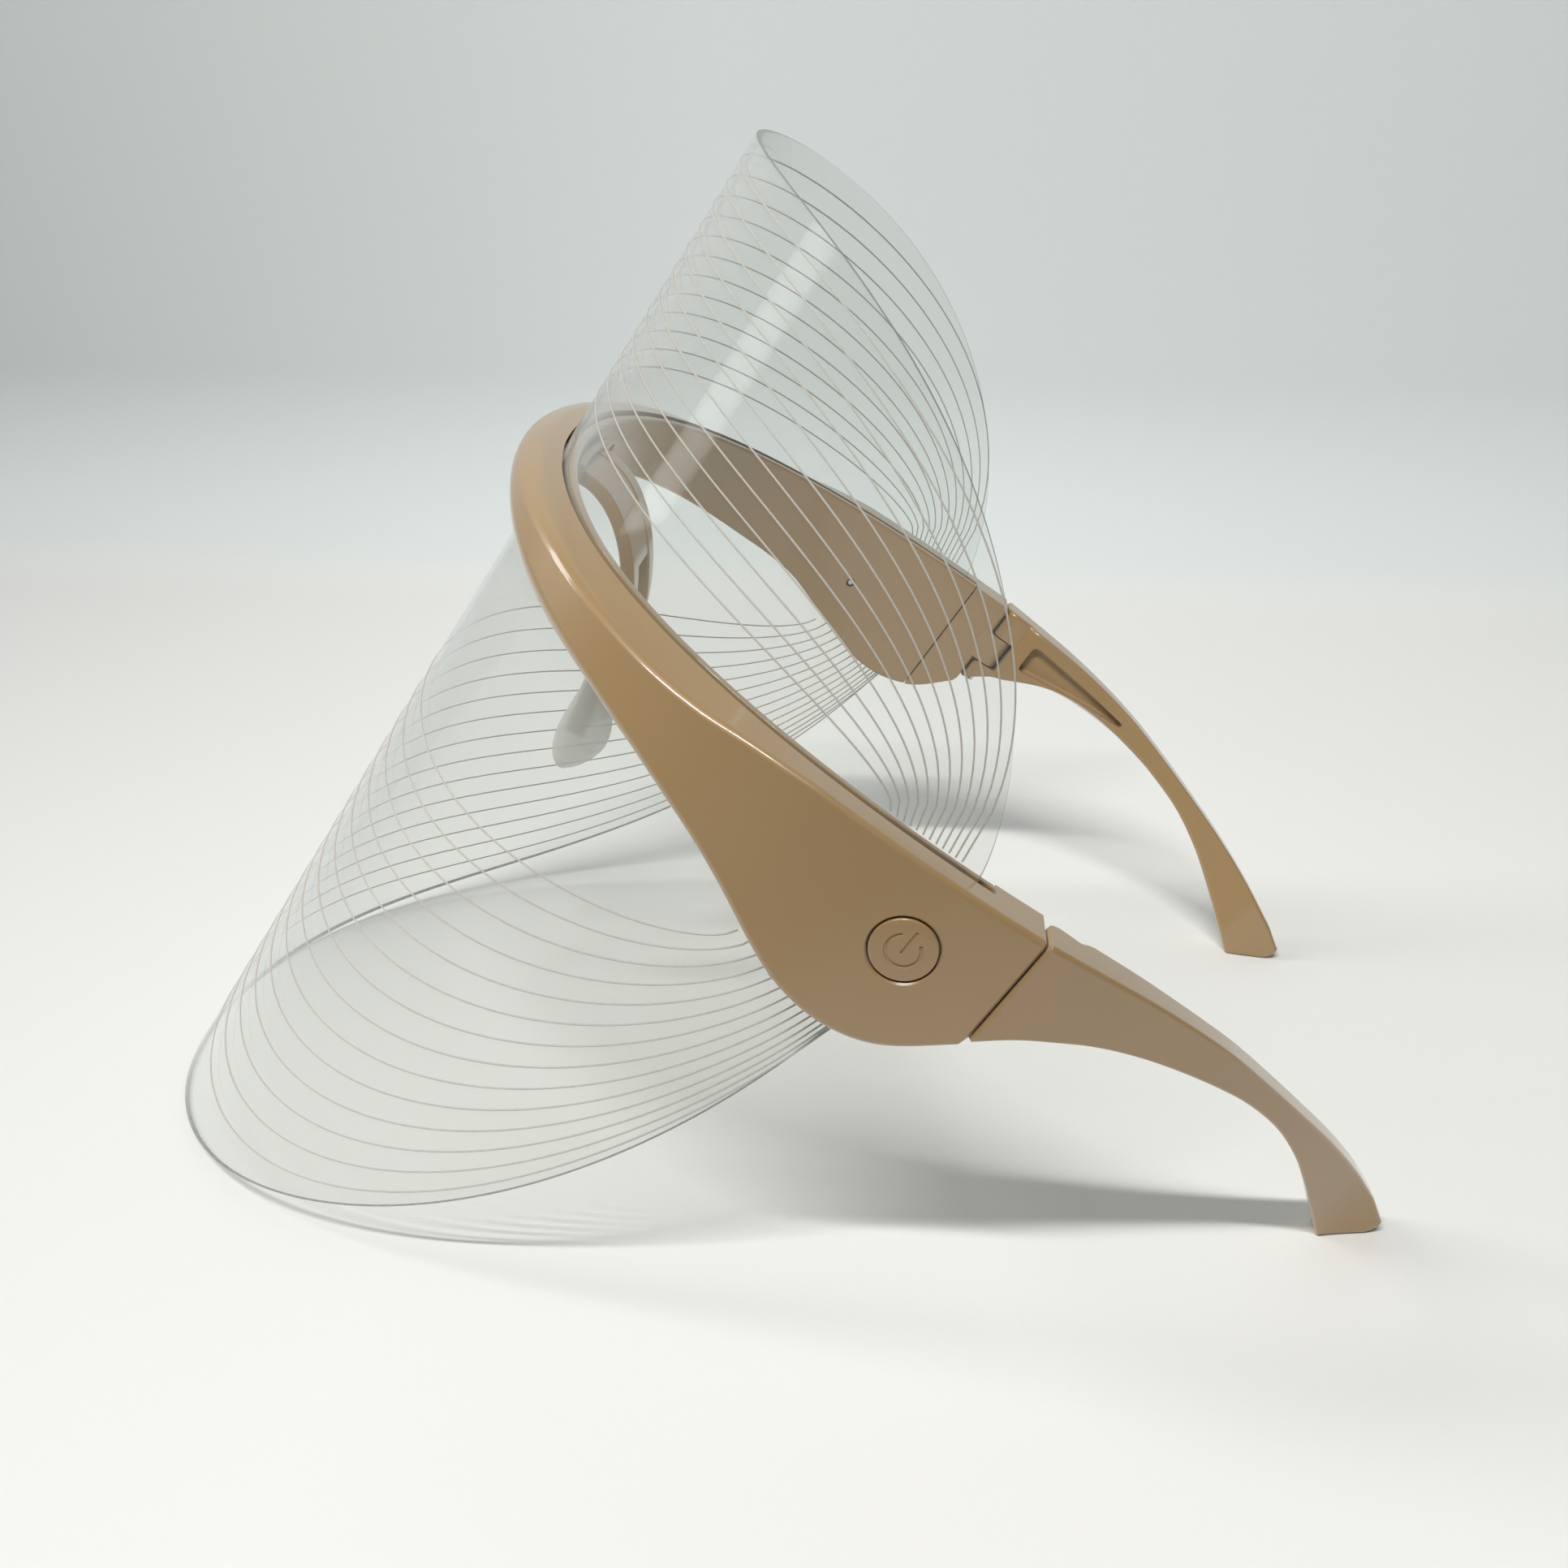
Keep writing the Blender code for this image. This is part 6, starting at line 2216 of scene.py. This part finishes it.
    def pad(self, shop: Workshop, side: Side) -> None:
        """Makes one soft pad with its hollow.

        Args:
            shop: The workshop.
            side: The side.
        """
        low, high = self.stem_end(), self.path(1)
        ahead = (low - high).normalized()
        across = Vector((-ahead.y, ahead.x))
        end = low + ahead * self.pad_below
        rings = []
        for share in [math.sin(math.pi / 2 * s) for s in evenly(0, 1, 40)]:
            swell = interpolate(self.pad_shares, share)
            point = end - ahead * self.pad_length * (1 - share)
            point += across * self.pad_bow * math.sin(math.pi * share)
            half = self.pad_half[0] * swell, self.pad_half[1] * min(swell + self.pad_flatness, 1)
            ring = []
            for angle in round_angles(self.pad_sides):
                at = point + across * half[0] * math.sin(angle)
                out = self.spread(point.y) + half[1] * math.cos(angle)
                ring.append(Vector((side.value * out, at.x, at.y)))
            rings.append(ring)
        piece = shop.loft(f"{side.word}_pad", rings)
        spine = self.spine(self.room_start)
        spine.append((low + ahead * self.section.gap, 2))
        room = [self.section_at(side, spine, i, self.section.gap) for i in range(len(spine))]
        shop.cut(piece, shop.loft("stem_room", room))
        shop.hand_in(piece, "silicone", Body.FRAME, [f"nose_pad_{side.word}"], angle=50)

    def build(self, shop: Workshop) -> None:
        """Makes the nose rest.

        Args:
            shop: The workshop.
        """
        self.bridge(shop)
        for side in Side:
            self.pad(shop, side)


class SmallParts:
    """Screws, pins, boards and electrics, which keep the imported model's own shapes."""

    def build(self, shop: Workshop) -> None:
        """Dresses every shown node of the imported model.

        Args:
            shop: The workshop.
        """
        slots = {s["node"]: s["material_slot"] for s in frame["record"]["subparts"]}
        for name, node in frame["nodes"].items():
            material = shop.finishes.by_slot[slots[name]]
            if node.data.materials:
                node.data.materials[0] = material
            else:
                node.data.materials.append(material)
            LOG.info("%s: %s", name, slots[name])


# Studio


@dataclass(frozen=True)
class Lamp:
    """Soft rectangular lamp aimed at the visor, its long side along y."""

    name: str
    at: tuple[float, float, float]
    size: Pair
    watts: float
    colour: Colour
    aim: float = 0.05

    def build(self) -> None:
        """Puts the lamp in the scene."""
        light = bpy.data.lights.new(self.name, "AREA")
        light.shape = "RECTANGLE"
        light.size, light.size_y = self.size
        light.energy = self.watts
        light.color = self.colour
        back = (Vector(self.at) - Vector((0, 0, self.aim))).normalized()
        along = (Vector((0, 1, 0)) - back * back.y).normalized()
        turned = Matrix((along, back.cross(along), back)).transposed().to_4x4()
        lamp = in_scene(self.name, light)
        lamp.matrix_world = Matrix.Translation(self.at) @ turned


@dataclass
class Studio:
    """Pale sweep, soft lights and the camera."""

    wall_back: float = 0.36
    bend: float = 0.07
    bend_steps: int = 24
    wall_height: float = 1.6
    half_width: float = 2.5
    front: float = 2.2
    floor_colour: Colour = (0.82, 0.825, 0.81)
    # Painted shade: the wall is coloured darker than the floor.
    wall_colour: Colour = (0.755, 0.81, 0.815)
    wall_run: float = 0.010
    # Painted shade: the floor towards the camera is coloured dark, so that it sends little light back onto the
    # visor.
    near_colour: Colour = (0.16, 0.16, 0.16)
    near_edge: float = 0.15
    near_run: float = 0.10
    # Painted shade: the floor darkens towards negative y.
    side_colour: Colour = (0.30, 0.31, 0.31)
    side_edge: float = 0.05
    side_run: float = 0.75
    grains: Pair = (700, 3)
    grain_colour: Colour = (0.70, 0.70, 0.69)
    grain_share: float = 0.08
    roughness: Pair = (0.62, 0.2)
    relief: float = 0.00003
    lamps: tuple[Lamp, ...] = (
        Lamp("key_lamp", (0.58, -0.10, 1.06), (0.70, 0.04), 11.5, (1.0, 0.98, 0.95)),
        Lamp("front_lamp", (-0.15, -1.40, 1.10), (1.2, 0.4), 12.8, (1.0, 0.99, 0.97)),
    )
    sky_colour: Colour = (0.95, 0.97, 1.0)
    sky_strength: float = 0.065
    lens: float = 36.863
    sensor: float = 36
    clip: float = 0.005
    eye: tuple[float, float, float] = (0.26393, 0.03152, 0.16905)
    yaw: float = -5.43
    pitch: float = 23.28
    roll: float = -0.21

    def paper(self) -> bpy.types.Material:
        """Matt paper of the sweep, with painted shade up the wall, towards negative y and in front; clear from
        behind.

        Returns:
            The material.
        """
        paint = Paint("sweep_paper")
        split = paint.graph.node("ShaderNodeSeparateXYZ", i0=paint.place)
        rise = (paint.graph.value(split, "Z") / self.wall_run).clamped()
        near = ((paint.graph.value(split, "X") - self.near_edge) / self.near_run).clamped()
        grain = paint.noise(*self.grains)
        # Painted shade up the wall: the tone turns to the darker wall colour above the floor.
        tone = paint.blend(rise, self.floor_colour, self.wall_colour)
        tone = paint.blend(grain * self.grain_share, tone, self.grain_colour)
        # Painted shade: the tone darkens towards negative y, away from the middle.
        beside = ((paint.graph.value(split, "Y") * -1 - self.side_edge) / self.side_run).clamped()
        tone = paint.blend(beside, tone, self.side_colour)
        # Painted shade: dark floor towards the camera.
        tone = paint.blend(near, tone, self.near_colour)
        front = paint.principled(
            base_color=tone, roughness=paint.varied(self.roughness, grain), specular_ior_level=0.25,
            normal=paint.bump(grain, self.relief),
        )
        side = paint.graph.node("ShaderNodeNewGeometry")
        clear = paint.graph.node("ShaderNodeBsdfTransparent")
        return paint.done(paint.crossfade(paint.graph.value(side, "Backfacing"), front, clear))

    def sweep(self) -> None:
        """Floor that bends up into the wall."""
        radius, corner = self.bend, -self.wall_back
        outline = [(self.front, 0.0)]
        outline += [(-x, z) for x, z in quarter((self.wall_back - radius, radius),
                                                (radius, radius), 3, self.bend_steps)]
        outline.append((corner, self.wall_height))
        bm = bmesh.new()
        rows = [[bm.verts.new((x, y, z)) for x, z in outline]
                for y in (-self.half_width, self.half_width)]
        for i in range(len(outline) - 1):
            bm.faces.new((rows[0][i], rows[1][i], rows[1][i + 1], rows[0][i + 1]))
        mesh = bpy.data.meshes.new("sweep")
        bm.to_mesh(mesh)
        bm.free()
        mesh.shade_smooth()
        mesh.materials.append(self.paper())
        in_scene("sweep", mesh)

    def sky(self) -> None:
        """Pale light from all round."""
        world = bpy.data.worlds.new("studio")
        world.use_nodes = True
        world.node_tree.nodes.clear()
        graph = Graph(world.node_tree)
        light = graph.node("ShaderNodeBackground", color=self.sky_colour,
                           strength=self.sky_strength)
        graph.node("ShaderNodeOutputWorld", surface=light.outputs[0])
        bpy.context.scene.world = world

    def camera(self) -> None:
        """Camera where the photograph was taken from."""
        yaw, pitch, roll = (math.radians(a) for a in (self.yaw, self.pitch, self.roll))
        ahead = Vector((-math.cos(yaw) * math.cos(pitch), math.sin(yaw) * math.cos(pitch),
                        -math.sin(pitch)))
        right = Vector((math.sin(yaw), math.cos(yaw), 0))
        up = right.cross(ahead)
        turned = right * math.cos(roll) + up * math.sin(roll)
        upright = up * math.cos(roll) - right * math.sin(roll)
        data = bpy.data.cameras.new("camera")
        data.lens = self.lens
        data.sensor_width = self.sensor
        data.clip_start = self.clip
        camera = in_scene("camera", data)
        axes = Matrix((turned, upright, -ahead)).transposed().to_4x4()
        camera.matrix_world = Matrix.Translation(self.eye) @ axes
        bpy.context.scene.camera = camera

    def build(self) -> None:
        """Makes the studio."""
        self.sweep()
        self.sky()
        for lamp in self.lamps:
            lamp.build()
        self.camera()
        bpy.context.scene.view_settings.view_transform = "Standard"


def main() -> None:
    """Builds the visor and its studio."""
    logging.basicConfig(level=logging.INFO, format="%(name)s: %(message)s")
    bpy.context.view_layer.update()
    section = BrowSection()
    hinges = Hinges(section)
    hinge = hinges.axis(Side.LEFT) - Vector((0, 0, hinges.drop))
    lean = Lean(frame["joints"], hinge)
    shop = Workshop(lean, Finishes())
    shells = FrameShells(section, hinges)
    shells.build(shop)
    VisorSheet(section, shells).build(shop)
    TempleArms(section, hinges, lean.angle).build(shop)
    PowerButton(section, shells).build(shop)
    NoseRest(section, shells).build(shop)
    SmallParts().build(shop)
    Studio().build()
    bpy.context.view_layer.update()


if __name__ == "__main__":
    main()
